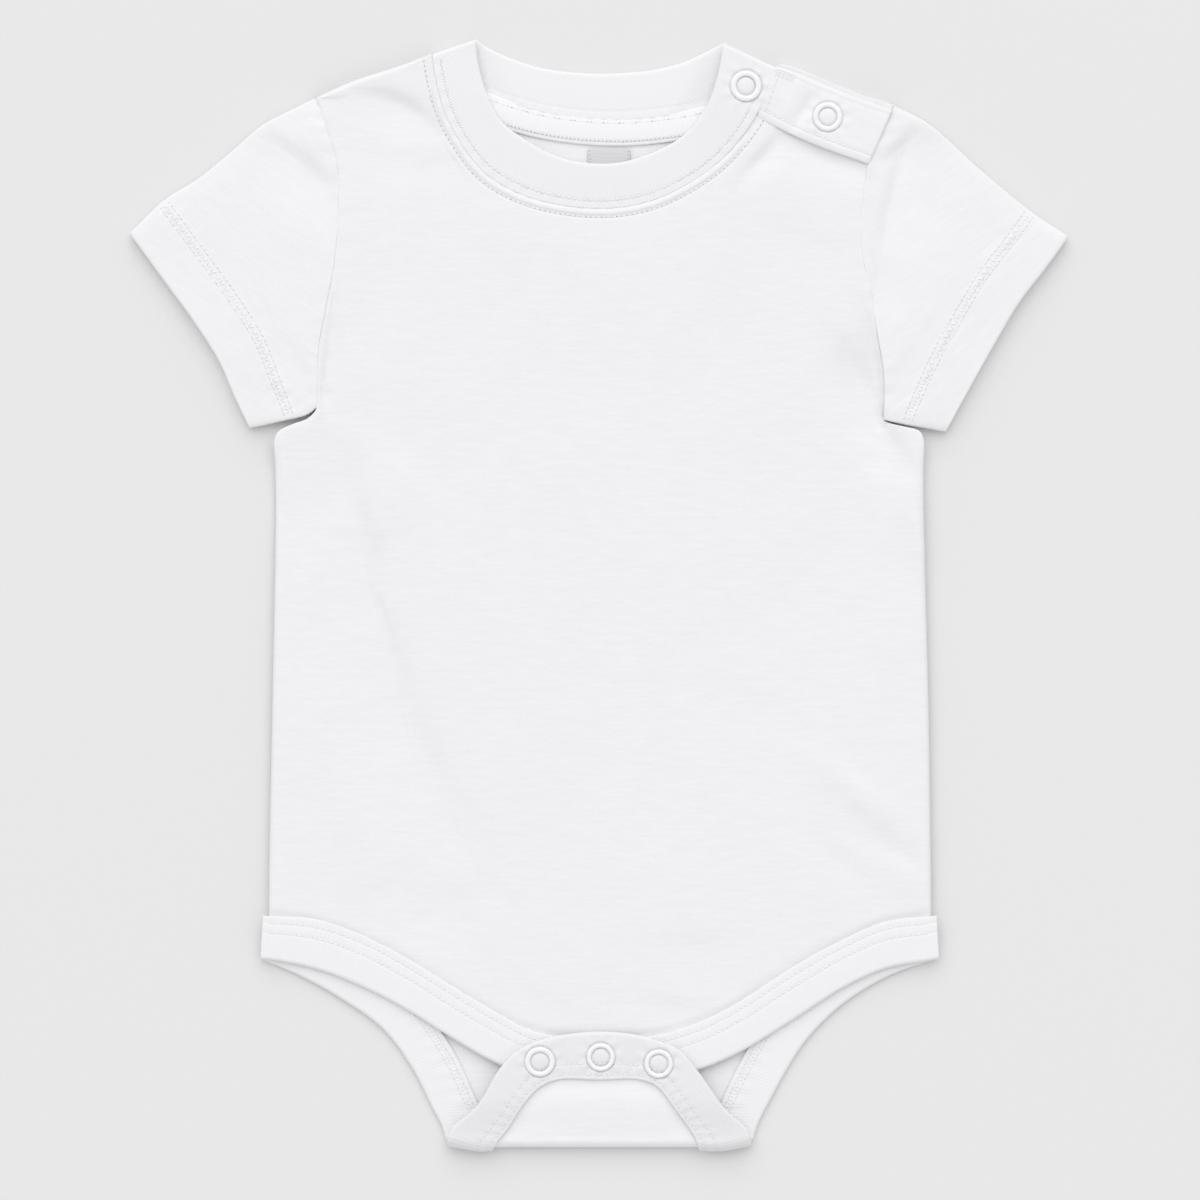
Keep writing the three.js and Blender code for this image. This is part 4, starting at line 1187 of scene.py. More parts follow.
@dataclass
class FrontPanel:
    """The front body: one soft sheet with rounded sides, laid creases and seam puckers."""

    rails: Rails
    columns: tuple[int, ...] = (12, 10, 24, 36, 68, 36, 20, 12)
    rows: tuple[int, ...] = (10, 92, 10, 68, 28)
    side_reach: float = 3.4
    shoulder_reach: float = 2.2
    underarm_height: float = 4.9
    shoulder_height: float = 4.5
    neck_height: float = 5.15
    armhole_height: float = 5.3
    swell: float = 0.3
    ridge: float = 0.3

    def __post_init__(self) -> None:
        """Works out the panel's four edges."""
        self.left = panel_edge(SIDE_RIGHT, UNDERARM_RIGHT, ARMHOLE_RIGHT, -ARMHOLE_TUCK)
        self.right = panel_edge(SIDE_LEFT, UNDERARM_LEFT, ARMHOLE_LEFT, ARMHOLE_TUCK)
        self.neck = Path.through(FRONT_BAND_SEAM).beside(NECK_TUCK)
        self.leg = raw_edge(self.rails.front)
        t = np.linspace(0.012, 0.988, 400)
        self.hem = Path(self.leg.at(t))
        self.top = Chain((
            (Path.through(SHOULDER_RIGHT), NECK_START),
            (self.neck, NECK_END),
            (Path.through(SHOULDER_LEFT_FRONT), 1.0),
        ))

    def height(self, x: Array, y: Array) -> Array:
        """Top of the panel at each place.

        The cloth lies full at the puff height. Towards a side, shoulder, neck seam or armhole it
        falls by a rounded fold or a soft step, less its creases, plus puckers that fade away
        from the neck seam. Under the placket and inside the leg binding it lies flat.

        Args:
            x: Places across, in millimetres.
            y: Places along, in millimetres.

        Returns:
            Heights in millimetres.
        """
        t = np.linspace(0, 1, 400)
        side = np.minimum(
            Path(self.left.at(t)).distance(x, y, 220), Path(self.right.at(t)).distance(x, y, 220)
        )
        shoulder = Path.through(SHOULDER_RIGHT).distance(x, y, 40)
        neck = self.neck.distance(x, y, 120)
        leg = self.leg.distance(x, y, 220)
        armhole = np.minimum(
            Path.through(ARMHOLE_RIGHT).distance(x, y, 60), Path.through(ARMHOLE_LEFT).distance(x, y, 60)
        )
        placket = Path.through(SHOULDER_LEFT_FRONT).distance(x, y, 40)

        low = STACK.on_back + STACK.jersey
        side_low = mix(low, self.underarm_height, smooth((y - UNDERARM_LEVEL) / 8))
        top = mix(side_low, STACK.puff, plump(side, self.side_reach))
        shoulder_low = mix(self.shoulder_height, low, smooth(neck / 9))
        top = np.minimum(top, mix(shoulder_low, STACK.puff, plump(shoulder, self.shoulder_reach)))
        top = np.minimum(top, mix(self.neck_height, STACK.puff, smooth(neck / 16)))
        by_armhole = mix(self.armhole_height, STACK.puff, smooth(armhole / 10))
        top = np.minimum(top, by_armhole + np.where(y < ARMHOLE_LEVEL, 1.0, 0.0))
        calm = smooth(side / 10) * smooth(neck / 8)
        top = top + self.swell * calm * ripple(x, y, 4, 130.0)
        top = top - FRONT_CREASES.depth(x, y)
        top = top + self.ridge * bell((neck - 1.5) / 0.9) - self.ridge * bell((neck - PANEL_ROW) / 0.7)
        top = top - rolled(neck, SEAM_ROLL) - seam_depth(x, y) * rolled(armhole, SEAM_ROLL)
        pucker = 0.16 * gather(x, 1.3, y, 0.21) * bell(neck / 5.0)
        pucker = pucker + 0.14 * gather(x, 0.9, x, 0.13, 3.0) * bell((leg - 9) / 6.0)
        pucker = pucker + 0.09 * gather(y, 0.8, y, 0.17) * bell(armhole / 5.0)
        top = top + pucker
        opening = (x > OPENING_CORNER[0]) & (y > OPENING_CORNER[1])
        flat = np.where(opening, smooth((placket - STACK.placket_depth) / 22), 1.0)
        top = mix(STACK.shoulder_top, top, flat) - OPENING_CREASES.depth(x, y)
        shown = 0.78 * smooth((leg - 6.7) / 1.3) + 0.22 * smooth((leg - 8) / 34)
        return mix(STACK.front_binding + STACK.jersey, top, shown)

    def build(self, finishes: Finishes) -> None:
        """Args:
            finishes: The garment's finishes.
        """
        u = stations((0, 0.02, 0.13, NECK_START, 0.32, 0.68, NECK_END, 0.98, 1), self.columns)
        v = stations((0, 0.07, SIDE_END, UNDERARM_END, 0.97, 1), self.rows)
        flat = patch(self.left, self.right, self.top, self.hem, (0.45, 0.5, 0.64), u, v)
        outer = lifted(flat, self.height(flat[..., 0], flat[..., 1]))
        inner = outer - np.array([0, 0, STACK.wall])
        piece = shell(outer, inner, flat).make("front_panel", finishes.body)
        place_piece(piece, "jersey", "front_body")


@dataclass
class BackPanel:
    """The back body: flat on the table, turned up at the crotch into the flap that shows."""

    rails: Rails
    columns: tuple[int, ...] = (20, 70, 20)
    rows: tuple[int, ...] = (22, 30, 34, 16, 4, 34)
    corner: float = 0.36
    leg_end: float = 0.42
    tuck: float = 0.9
    sag: float = 0.3

    def build(self, finishes: Finishes) -> None:
        """Args:
            finishes: The garment's finishes.
        """
        flap = raw_edge(self.rails.flap)
        left = self._outline(
            flap, raw_edge(self.rails.back_right), (self.corner, 0),
            (SIDE_RIGHT, UNDERARM_RIGHT, ARMHOLE_RIGHT), self.tuck,
        )
        right = self._outline(
            flap, raw_edge(self.rails.back_left), (1 - self.corner, 1),
            (SIDE_LEFT, UNDERARM_LEFT, ARMHOLE_LEFT), -self.tuck,
        )
        top = Chain((
            (Path.through(SHOULDER_RIGHT), NECK_START),
            (Path.through(BACK_BAND_SEAM).beside(NECK_TUCK), NECK_END),
            (Path.through(SHOULDER_LEFT_OUTLINE), 1.0),
        ))
        t = np.linspace(0, 1, 200)
        bottom = Path(flap.at(mix(self.corner, 1 - self.corner, t)))
        levels = left.at(np.linspace(0, self.leg_end, 2000))[:, 1]
        past = self.leg_end * np.argmax(levels >= STACK.fold_line - STACK.fold_length) / 2000 - 0.003
        turned = self.leg_end * np.argmax(levels >= STACK.fold_line) / 2000 + 0.003
        u = stations((0, NECK_START, NECK_END, 1), self.columns)
        v = stations((0, past, turned, self.leg_end, BACK_SIDE_END, BACK_UNDERARM_END, 1), self.rows)
        flat = patch(left, right, top, bottom, (0.72, 0.1, 1.0), u, v)
        x, y = flat[..., 0], flat[..., 1]
        outside = np.zeros_like(x)
        flap_part = smooth((STACK.fold_line - STACK.fold_length - y) / 5)
        sag = -self.sag * flap_part * (1 + 0.5 * ripple(x, y, 9, 40.0)) * bell(x / 26)
        sag = sag + self.sag * flap_part * bell((self.rails.flap[1].distance(x, y, 90) - 1.5) / 3.0)
        inside = fold_up(x, y, outside + STACK.jersey)
        outer = fold_up(x, y, outside)
        sink = lifted(np.zeros_like(flat), sag)
        piece = shell(inside - sink, outer - sink, flat).make("back_panel", finishes.back)
        place_piece(piece, "jersey", "back_body")

    def _outline(
        self, flap: Path, leg: Path, reach: tuple[float, float], tables: Sequence[Sequence[Row]],
        inward: float,
    ) -> Chain:
        """One side of the panel, from the flap's top corner through the fold to the shoulder.

        Args:
            flap: The flap's cut edge.
            leg: The cut edge of this leg.
            reach: Shares of the flap's edge where this side starts and ends.
            tables: The side, underarm and armhole tables.
            inward: How far the armhole is moved in, in millimetres.

        Returns:
            The side.
        """
        side, underarm, armhole = tables
        flap_part = flap.at(mix(*reach, np.linspace(0, 0.985, 120)))
        leg_part = leg.at(np.linspace(0.995, 0.02, 240))
        return Chain((
            (Path(np.concatenate([flap_part, leg_part])), self.leg_end),
            (Path.through(side), BACK_SIDE_END),
            (Path.through(underarm), BACK_UNDERARM_END),
            (Path.through(armhole).shifted(inward), 1.0),
        ))


@dataclass
class Sleeve:
    """One short sleeve: a flattened tube with a turned-up, twin-stitched hem."""

    name: str
    node: str
    top: Sequence[Row]
    hem: Sequence[Row]
    under: Sequence[Row]
    armhole: Sequence[Row]
    height: float = 5.6
    cuff: float = 4.9
    hem_wall: float = 2.0
    turns: int = 150
    steps: int = 88

    def __post_init__(self) -> None:
        """Works out the sleeve's four edges."""
        self.edges = [Path.through(rows) for rows in (self.top, self.hem, self.under)]
        self.seam = Path.through(self.armhole).backwards()

    def place(self, a: Array, s: Array) -> Array:
        """The flat place at a share across and a share along, by a four-sided patch.

        Args:
            a: Share from the top edge to the underarm edge.
            s: Share from the armhole to the hem.

        Returns:
            Points in the plane.
        """
        top, hem, under = self.edges
        rows = mix(self.seam.at(a), hem.at(a), s[..., None])
        sides = mix(top.at(s), under.at(s), a[..., None])
        ends = np.array([0.0, 1.0])
        seam0, seam1 = self.seam.at(ends)
        hem0, hem1 = hem.at(ends)
        corners = mix(mix(seam0, hem0, s[..., None]), mix(seam1, hem1, s[..., None]), a[..., None])
        return rows + sides - corners

    def loop(self, turn: Array, s: Array, wall: Array) -> Array:
        """Points of the rings at a depth into the wall.

        A ring is a flattened loop: its share across follows the cosine of the turn to a power
        under one, and its height the sine to a small power, so top and bottom are nearly flat. The
        top sinks by the creases, by a groove along each hem row, and swells softly.

        Args:
            turn: Angles round the ring.
            s: Share along from the armhole.
            wall: Depth below the outer face, in millimetres.

        Returns:
            Points in space.
        """
        width = np.linalg.norm(self.edges[0].at(s) - self.edges[2].at(s), axis=-1)
        high = mix(self.height, self.cuff, smooth((s - 0.5) / 0.5))
        cosine, sine = np.cos(turn), np.sin(turn)
        across = 0.5 - (0.5 - wall / width) * np.sign(cosine) * np.abs(cosine) ** 0.75
        flat = self.place(across, s)
        power = np.where(sine > 0, 0.34, 0.3)
        z = high / 2 + (high / 2 - wall) * np.sign(sine) * np.abs(sine) ** power
        shape = smooth((sine - 0.1) / 0.4)
        x, y = flat[..., 0], flat[..., 1]
        from_hem = self.edges[1].distance(x, y, 90)
        from_seam = self.seam.distance(x, y, 90)
        groove = sum(0.16 * bell((from_hem - inset) / 0.7) for inset in HEM_ROWS)
        step = 0.22 * smooth((19.0 - from_hem) / 1.2)
        pucker = 0.13 * gather(x - y, 1.1, x, 0.2) * bell((from_hem - 16) / 5)
        pucker = pucker + 0.16 * gather(y, 0.9, y, 0.15) * bell(from_seam / 5)
        lift = 0.25 * ripple(x, y, 21, 70.0) * smooth(from_seam / 10) * smooth(from_hem / 10)
        sunk = groove + SLEEVE_CREASES.depth(x, y) + seam_depth(x, y) * rolled(from_seam, SEAM_ROLL)
        z = z + shape * (lift + pucker + step - sunk)
        return lifted(flat, z)

    def build(self, finish: bpy.types.Material) -> None:
        """The wall runs out along its outer face, round the folded hem edge and back along its inner
        face, as one grid of rings, and a strip closes it at the armhole.

        Args:
            finish: The sleeve's jersey.
        """
        out = stations((0.0, 0.05, 0.985), (12, self.steps))
        edge = np.linspace(0, 1, 9)[1:-1]
        lap = 0.985 + 0.015 * np.sin(edge * math.pi)
        back = out[::-2]
        s = np.concatenate([out, lap, back])
        wall_in = mix(STACK.wall, self.hem_wall, smooth((back - 0.7) / 0.05))
        wall_round = self.hem_wall * (1 - np.cos(edge * math.pi)) / 2
        depth = np.concatenate([np.zeros_like(out), wall_round, wall_in])
        turn = np.linspace(0, math.tau, self.turns, endpoint=False)
        s_grid, turn_grid = np.meshgrid(s, turn, indexing="ij")
        rings = self.loop(turn_grid, s_grid, depth[:, None] + 0 * turn_grid)
        piece = hoop(rings).make(self.name, finish)
        place_piece(piece, "jersey", self.node)

    def stitch_line(self, inset: float) -> Array:
        """The top face's points along a hem row.

        Args:
            inset: Distance in from the hem's edge, in millimetres.

        Returns:
            Close points along the row.
        """
        a = np.linspace(0.02, 0.98, 240)
        s = np.full_like(a, 0.85)
        for _ in range(4):
            flat = self.place(a, s)
            far = self.edges[1].distance(flat[:, 0], flat[:, 1], 90)
            s = np.clip(s + (far - inset) / 62.0, 0, 1)
        turn = np.arccos(np.sign(0.5 - a) * (np.abs(0.5 - a) / 0.5) ** (1 / 0.75))
        return self.loop(turn, s, np.zeros_like(a))


def band_ring(width: float, thick: float, crown: float, groove: Callable[[Array], Array]) -> Array:
    """Half-round edge, flat underside and softly crowned top of a folded rib strip.

    Args:
        width: The strip's width, in millimetres.
        thick: Its thickness.
        crown: How far the middle of its top rises.
        groove: Depth of the stitch grooves at a distance from the folded edge.

    Returns:
        Ring points: distance across and height.
    """
    half = thick / 2
    turn = np.linspace(-math.pi / 2, -math.pi * 1.5, 9)
    edge = np.stack([half + half * np.cos(turn), half + half * np.sin(turn)], axis=1)
    across = np.concatenate([np.linspace(half, width - 0.9, 46)[1:], np.linspace(width - 0.75, width, 6)])
    top = thick + crown * np.sin(math.pi * across / width) - groove(across) - rolled(width - across, 0.6)
    upper = np.stack([across, top], axis=1)
    lower = np.stack([np.linspace(width, half, 7)[:-1], np.zeros(6)], axis=1)
    return np.concatenate([edge, upper, lower])


class Neckline:
    """The neckband's front and back stretch, the tape inside the back neck and the blank label."""

    def front_base(self, v: Array) -> Array:
        """Height of the front band's underside: it climbs over the closed shoulder snap."""
        return STACK.front_band + (STACK.stud + 0.2) * smooth((v - 0.74) / 0.16)

    def band(
        self, name: str, node: str, inner: Sequence[Row], seam: Sequence[Row], base: Callable[[Array], Array],
        count: int, finish: bpy.types.Material, flat: tuple[float, float],
    ) -> None:
        """Builds and places one stretch of the neckband.

        Each ring lies between the folded inner edge and the seam at its own share of the way, and
        its heights come from the band's section, plus the snap's pull and slow waves.

        Args:
            name: The piece's name.
            node: The node that it replaces.
            inner: The folded edge's table.
            seam: The seam's table.
            base: Height of the underside at a share of the way.
            count: Number of rings.
            finish: The rib.
            flat: Width and length of the cloth that shows, in metres; not used.
        """
        fold, sewn = Path.through(inner), Path.through(seam)
        ring = band_ring(STACK.band_width, STACK.band, 0.12, lambda d: 0.12 * bell((d - BAND_ROW) / 0.5))
        v = np.linspace(0, 1, count)
        share = ring[:, 0] / STACK.band_width
        x, y = np.moveaxis(ruled(fold, sewn, v, share), -1, 0)
        rises = ring[:, 1] / STACK.band
        raised = smooth((rises - 0.6) / 0.4)[None]
        z = base(v)[:, None] + ring[:, 1][None]
        z = z + raised * (snap_pull(x, y) if node == "neckband_front" else 0)
        gathers = 0.08 * np.sin(v * 190.0)[:, None] * bell((ring[:, 0] - 14.5) / 2.5)[None]
        z = z + raised * (0.12 * ripple(x, y, 31, 45.0) + gathers)
        if node == "neckband_front":
            z = z - smooth(rises)[None] * rolled(np.minimum(v, 1 - v)[:, None] * sewn.length, 1.8)
            middle = smooth(np.minimum(v, 1 - v) / 0.16)[:, None]
            z = z + 0.45 * middle * (1 - share)[None]
        else:
            hidden = Path.through(FRONT_BAND_INNER).distance(x, y, 60)
            z = z * mix(0.42, 1.0, np.where(y > 163, smooth(hidden / 10), 1.0))
        points = np.dstack([x, y, z])
        piece = strip(points, cloth_map(v * sewn.length, ring[:, 0])).make(name, finish)
        place_piece(piece, "rib", node)

    def tape_rails(self) -> tuple[Path, Path]:
        """The tape's low and top edge."""
        seam = Path.through(BACK_BAND_SEAM)
        kept = Path(seam.at(np.linspace(0.1, 0.9, 400)))
        return kept.beside(-STACK.tape_width), kept.beside(STACK.tape_lap)

    def tape(self, finish: bpy.types.Material) -> None:
        low, high = self.tape_rails()
        width = STACK.tape_width + STACK.tape_lap
        ring = band_ring(width, STACK.jersey, 0.4, lambda d: 0.2 * bell((d - TAPE_ROW) / 0.45))
        v = np.linspace(0, 1, 220)
        share = ring[:, 0] / width
        flat = ruled(low, high, v, share)
        z = np.broadcast_to(STACK.tape + ring[:, 1], flat.shape[:2])
        wave = 0.04 * np.sin(v * 120)[:, None] * (ring[:, 1] > 0.6)[None]
        points = lifted(flat, z + wave)
        piece = strip(points, cloth_map(v * high.length, ring[:, 0])).make("neck_tape_strip", finish)
        place_piece(piece, "rib", "neck_tape")

    def label(self, finish: bpy.types.Material) -> None:
        u, v = np.linspace(0, 1, 40), np.linspace(0, 1, 36)
        x, y = np.meshgrid(mix(*LABEL_SIDES, u), mix(*LABEL_ENDS, v))
        curl = 0.12 * np.abs(2 * u - 1)[None] ** 3 + 0.05 * np.sin(y * 0.9)
        outer = np.dstack([x, y, STACK.on_back + 0.6 + curl])
        inner = outer - np.array([0, 0, 0.45])
        piece = shell(outer, inner, np.dstack([y, x])).make("blank_label", finish)
        place_piece(piece, "label", "neck_label")

    def build(self, finishes: Finishes) -> None:
        """Builds the four pieces of the neckline."""
        self.band(
            "neckband_back_rib", "neckband_back", BACK_BAND_TOP, BACK_BAND_SEAM, np.zeros_like, 330,
            finishes.rib, (0.0166, 0.128),
        )
        self.band(
            "neckband_front_rib", "neckband_front", FRONT_BAND_INNER, FRONT_BAND_SEAM, self.front_base, 560,
            finishes.front_rib_painted_shade, (0.0166, 0.171),
        )
        self.tape(finishes.tape)
        self.label(finishes.label)


@dataclass
class ShoulderOpening:
    """The snapped opening on the wearer's left shoulder: placket strip and the extension under it."""

    crown: float = 0.3
    length: float = 44.0

    def __post_init__(self) -> None:
        """Works out the strip's edges."""
        self.top = Path.through(SHOULDER_LEFT_FRONT)
        self.low = Path.through(PLACKET_LOW)
        self.outline = Path.through(SHOULDER_LEFT_OUTLINE)

    def surface(self, u: Array, v: Array) -> Array:
        """Top of the placket at shares along and across it.

        The strip is crowned like a soft pillow, lower at its free edge, with a groove along its
        stitch row and the snap's pull.

        Args:
            u: Share along, from the neckband to the armhole.
            v: Share across, from the low edge to the shoulder edge.

        Returns:
            Points in space.
        """
        t = mix(0.012, 0.988, u)
        flat = mix(self.low.at(t), self.top.at(t), v[..., None])
        reach_out = 1.25 * smooth((u - 0.85) / 0.15) - 2.7 * (1 - smooth(u / 0.15))
        flat = flat + reach_out[..., None] * np.array([0.92, -0.38])
        x, y = flat[..., 0], flat[..., 1]
        across = STACK.placket_depth * v
        rounded = np.sqrt(1 - (1 - np.clip(across / 2.2, 0, 1)) ** 2)
        crown = self.crown * np.sin(math.pi * v) ** 0.7 * 0.5
        z = STACK.placket + 0.45 + (STACK.jersey - 0.2) * rounded + crown
        z = z - 0.2 * bell((across - 2.7) / 0.6) - 0.35 * smooth((v - 0.93) / 0.07)
        z = z - 0.15 * bell((across - 15.6) / 0.5) - rolled(self.length * (1 - u), 1.0)
        z = z - 1.0 * (1 - smooth(u / 0.3)) * (1 - smooth(v / 0.5))
        fold = 1.05 * bell((u - 0.27 - 0.1 * v) / 0.06) * np.sin(math.pi * np.clip(v * 1.1, 0, 1))
        fold = fold - 0.3 * bell((u - 0.14 - 0.06 * v) / 0.06)
        z = z - fold + 0.1 * ripple(x, y, 12, 30.0) + snap_pull(x, y)
        return lifted(flat, z)

    def build(self, finishes: Finishes) -> None:
        u, v = np.meshgrid(np.linspace(0, 1, 130), np.linspace(0, 1, 60) ** 1.2)
        outer = self.surface(u, v)
        inner = outer.copy()
        inner[..., 2] = np.minimum(outer[..., 2] - 0.35, STACK.placket + 0.02)
        placket = shell(outer, inner, outer[..., :2].copy()).make("placket_strip", finishes.facing)
        place_piece(placket, "jersey", "shoulder_placket")

        u, v = np.meshgrid(np.linspace(0, 1, 90), np.linspace(0, 1, 24))
        low = self.outline.beside(-16)
        flat = mix(low.at(mix(0.01, 0.93, u)), self.outline.at(mix(0.01, 0.985, u)), v[..., None])
        edge = 0.25 * bell((v - 1) / 0.12)
        outer = lifted(flat, STACK.on_back + STACK.jersey - edge)
        inner = lifted(flat, STACK.on_back + 0.05)
        extension = shell(outer, inner, flat).make("extension_strip", finishes.facing)
        place_piece(extension, "jersey", "shoulder_extension")


@dataclass(frozen=True)
class BindingSection:
    """Section of a folded rib binding: doubled at its free edge, one layer where it lies on the panel."""

    rows: tuple[float, ...] = (9.6, 13.1)
    groove: float = 0.15
    crown: float = 0.14

    def top(self, across: Array) -> Array:
        """Height of the top at a distance from the free edge: its crown less its stitch grooves."""
        grooves = sum(bell((across - row) / 0.55) for row in self.rows)
        crown = self.crown * np.sin(math.pi * across / STACK.binding_width)
        return STACK.binding + crown - self.groove * grooves

    def ring(self) -> Array:
        """Ring points from the free edge's underside, over the panel, and back over the top.

        The free edge is a half round, the ridge a quarter round, and the top is crowned a little
        with a soft groove along each stitch row.

        Returns:
            Ring points: distance from the free edge and height.
        """
        high, width, open_at, on = STACK.binding, STACK.binding_width, STACK.opens_at, STACK.on_back
        half = high / 2
        under = np.stack([np.linspace(half, open_at, 6), np.zeros(6)], axis=1)
        slot = np.array([[open_at, on], [(open_at + width) / 2, on]])
        turn = np.linspace(-math.pi / 2, math.pi / 2, 7)
        lip = (high - on) / 2
        blunt = lip * 0.6
        ridge = np.stack([width - blunt + blunt * np.cos(turn), on + lip + lip * np.sin(turn)], axis=1)
        across = np.linspace(width - lip, half, 46)[1:]
        upper = np.stack([across, self.top(across)], axis=1)
        around = np.linspace(math.pi / 2, math.pi * 1.5, 9)[1:-1]
        edge = np.stack([half + half * np.cos(around), half + half * np.sin(around)], axis=1)
        return np.concatenate([under, slot, ridge, upper, edge])


@dataclass
class LegBindings:
    """The rib binding round the leg openings and the flap, in its four stretches."""

    rails: Rails
    section: BindingSection = field(default_factory=BindingSection)
    flap_section: BindingSection = field(default_factory=lambda: BindingSection((10.4, 14.0)))
    back_section: BindingSection = field(default_factory=lambda: BindingSection((12.6,), 0.1))

    def lift_front(self, flat: Array, up: Array) -> Array:
        """Lays a front stretch on the back one."""
        return lifted(flat, STACK.front_binding + up)

    def lift_back(self, flat: Array, up: Array) -> Array:
        """Lays a back stretch on the table and round the fold."""
        return fold_up(flat[..., 0], flat[..., 1], up)

    def lift_flap(self, flat: Array, up: Array) -> Array:
        """Lays the flap's stretch round the fold, with its open layer on the garment's outside."""
        return fold_up(flat[..., 0], flat[..., 1], STACK.jersey - up)

    def surface(
        self, rails: tuple[Path, Path], lift: Callable[[Array, Array], Array], v: Array, ring: Array
    ) -> Array:
        """Points of the rings between a binding's two edges.

        Args:
            rails: The free edge and the ridge.
            lift: Takes flat points and heights to their place.
            v: Shares along.
            ring: Section points.

        Returns:
            Stations by ring points by 3.
        """
        flat = ruled(*rails, v, ring[:, 0] / STACK.binding_width)
        x, y = flat[..., 0], flat[..., 1]
        wave = 0.1 * ripple(x, y, 41, 38.0)
        pull = 0.09 * np.sin(v * rails[0].length * 1.25)[:, None] * bell((ring[:, 0] - 11) / 3.5)[None]
        raised = smooth((ring[:, 1] - 1.5) / 0.6)[None]
        up = ring[:, 1][None] + raised * (wave + pull)
        if lift == self.lift_flap:
            folded_y = 2 * STACK.fold_line - STACK.fold_length - y
            between = bell((x + 13) / 2.6) + bell((x - 12.2) / 2.6)
            between = between * bell((folded_y + 162) / 7)
            up = up + raised * (snap_pull(x, folded_y) - 0.55 * between)
        return lift(flat, up)

    def build(self, finishes: Finishes) -> None:
        front = stations((0, 1), (560,))
        back = stations((0, 0.93, 1), (170, 40))
        round_flap = stations((0, 0.05, 0.95, 1), (26, 300, 26))
        rows = (
            ("front_leg_binding", "binding_front",
             self.rails.front, self.lift_front, self.section, front, 0.262),
            ("right_leg_binding", "binding_back_right",
             self.rails.back_right, self.lift_back, self.back_section, back, 0.102),
            ("left_leg_binding", "binding_back_left",
             self.rails.back_left, self.lift_back, self.back_section, back, 0.102),
            ("flap_binding", "binding_flap",
             self.rails.flap, self.lift_flap, self.flap_section, round_flap, 0.125),
        )
        for name, node, rails, lift, section, v, length in rows:
            ring = section.ring()
            points = self.surface(rails, lift, v, ring)
            # The flap binding takes the rib copy with painted shade.
            finish = finishes.flap_rib_painted_shade if section is self.flap_section else finishes.rib
            piece = strip(points, cloth_map(v * rails[0].length, ring[:, 0])).make(name, finish)
            place_piece(piece, "rib", node)


@dataclass
class RingSnaps:
    """The five white ring snaps, each a rounded ring round a dome of cloth."""

    height: float = 0.8

    def build(self, finishes: Finishes) -> None:
        """Builds each ring as a profile turned about its own axis.

        The profile is a half-round crown with a small inner lip and a flat underside. Its distance
        from the axis and its height are turned through the full circle in even steps.
        """
        for snap in SNAPS:
            mid, half = (snap.outer + snap.hole) / 2, (snap.outer - snap.hole) / 2
            t = np.linspace(0, math.pi, 15)
            out = mid + half * np.cos(t)
            up = self.height * np.sin(t) ** 0.62
            low = np.array([[snap.hole + 0.15, -0.1], [snap.outer - 0.1, -0.1]])
            profile = np.concatenate([np.stack([out, up], axis=1), low])
            turn = np.linspace(0, math.tau, 72, endpoint=False)
            x = snap.x + profile[None, :, 0] * np.cos(turn)[:, None]
            y = snap.y + profile[None, :, 0] * np.sin(turn)[:, None]
            z = np.broadcast_to(snap.cloth - 0.05 + profile[None, :, 1], x.shape)
            piece = hoop(np.dstack([x, y, z])).make(f"ring_{snap.name}", finishes.enamel)
            place_piece(piece, "snap", f"snap_ring_{snap.name}")
            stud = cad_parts[f"snap_stud_{snap.name}"]
            stud_object = stud if isinstance(stud, bpy.types.Object) else bpy.data.objects.get(str(stud))
            if stud_object is not None:
                stud_object.data.materials.clear()
                stud_object.data.materials.append(finishes.enamel)


# Sewing


class StitchKind(Enum):
    """How a row of stitches runs."""

    STRAIGHT = "straight"
    ZIGZAG = "zigzag"


# A thread's rings from hole to hole: share along, rise in millimetres, share of the full width
SPINDLE = (
    (0.08, -0.12, 0.35),
    (0.25, 0.05, 0.9),
    (0.5, 0.11, 1.0),
    (0.75, 0.05, 0.9),
    (0.92, -0.12, 0.35),
)
SPINDLE_SIDES = 6
HOLE_SIDES = 7


def sideways(ahead: Array) -> Array:
    """Level unit vectors square to the given directions."""
    side = np.stack([-ahead[:, 1], ahead[:, 0], np.zeros(len(ahead))], axis=1)
    return side / np.maximum(np.linalg.norm(side, axis=1, keepdims=True), 1e-9)


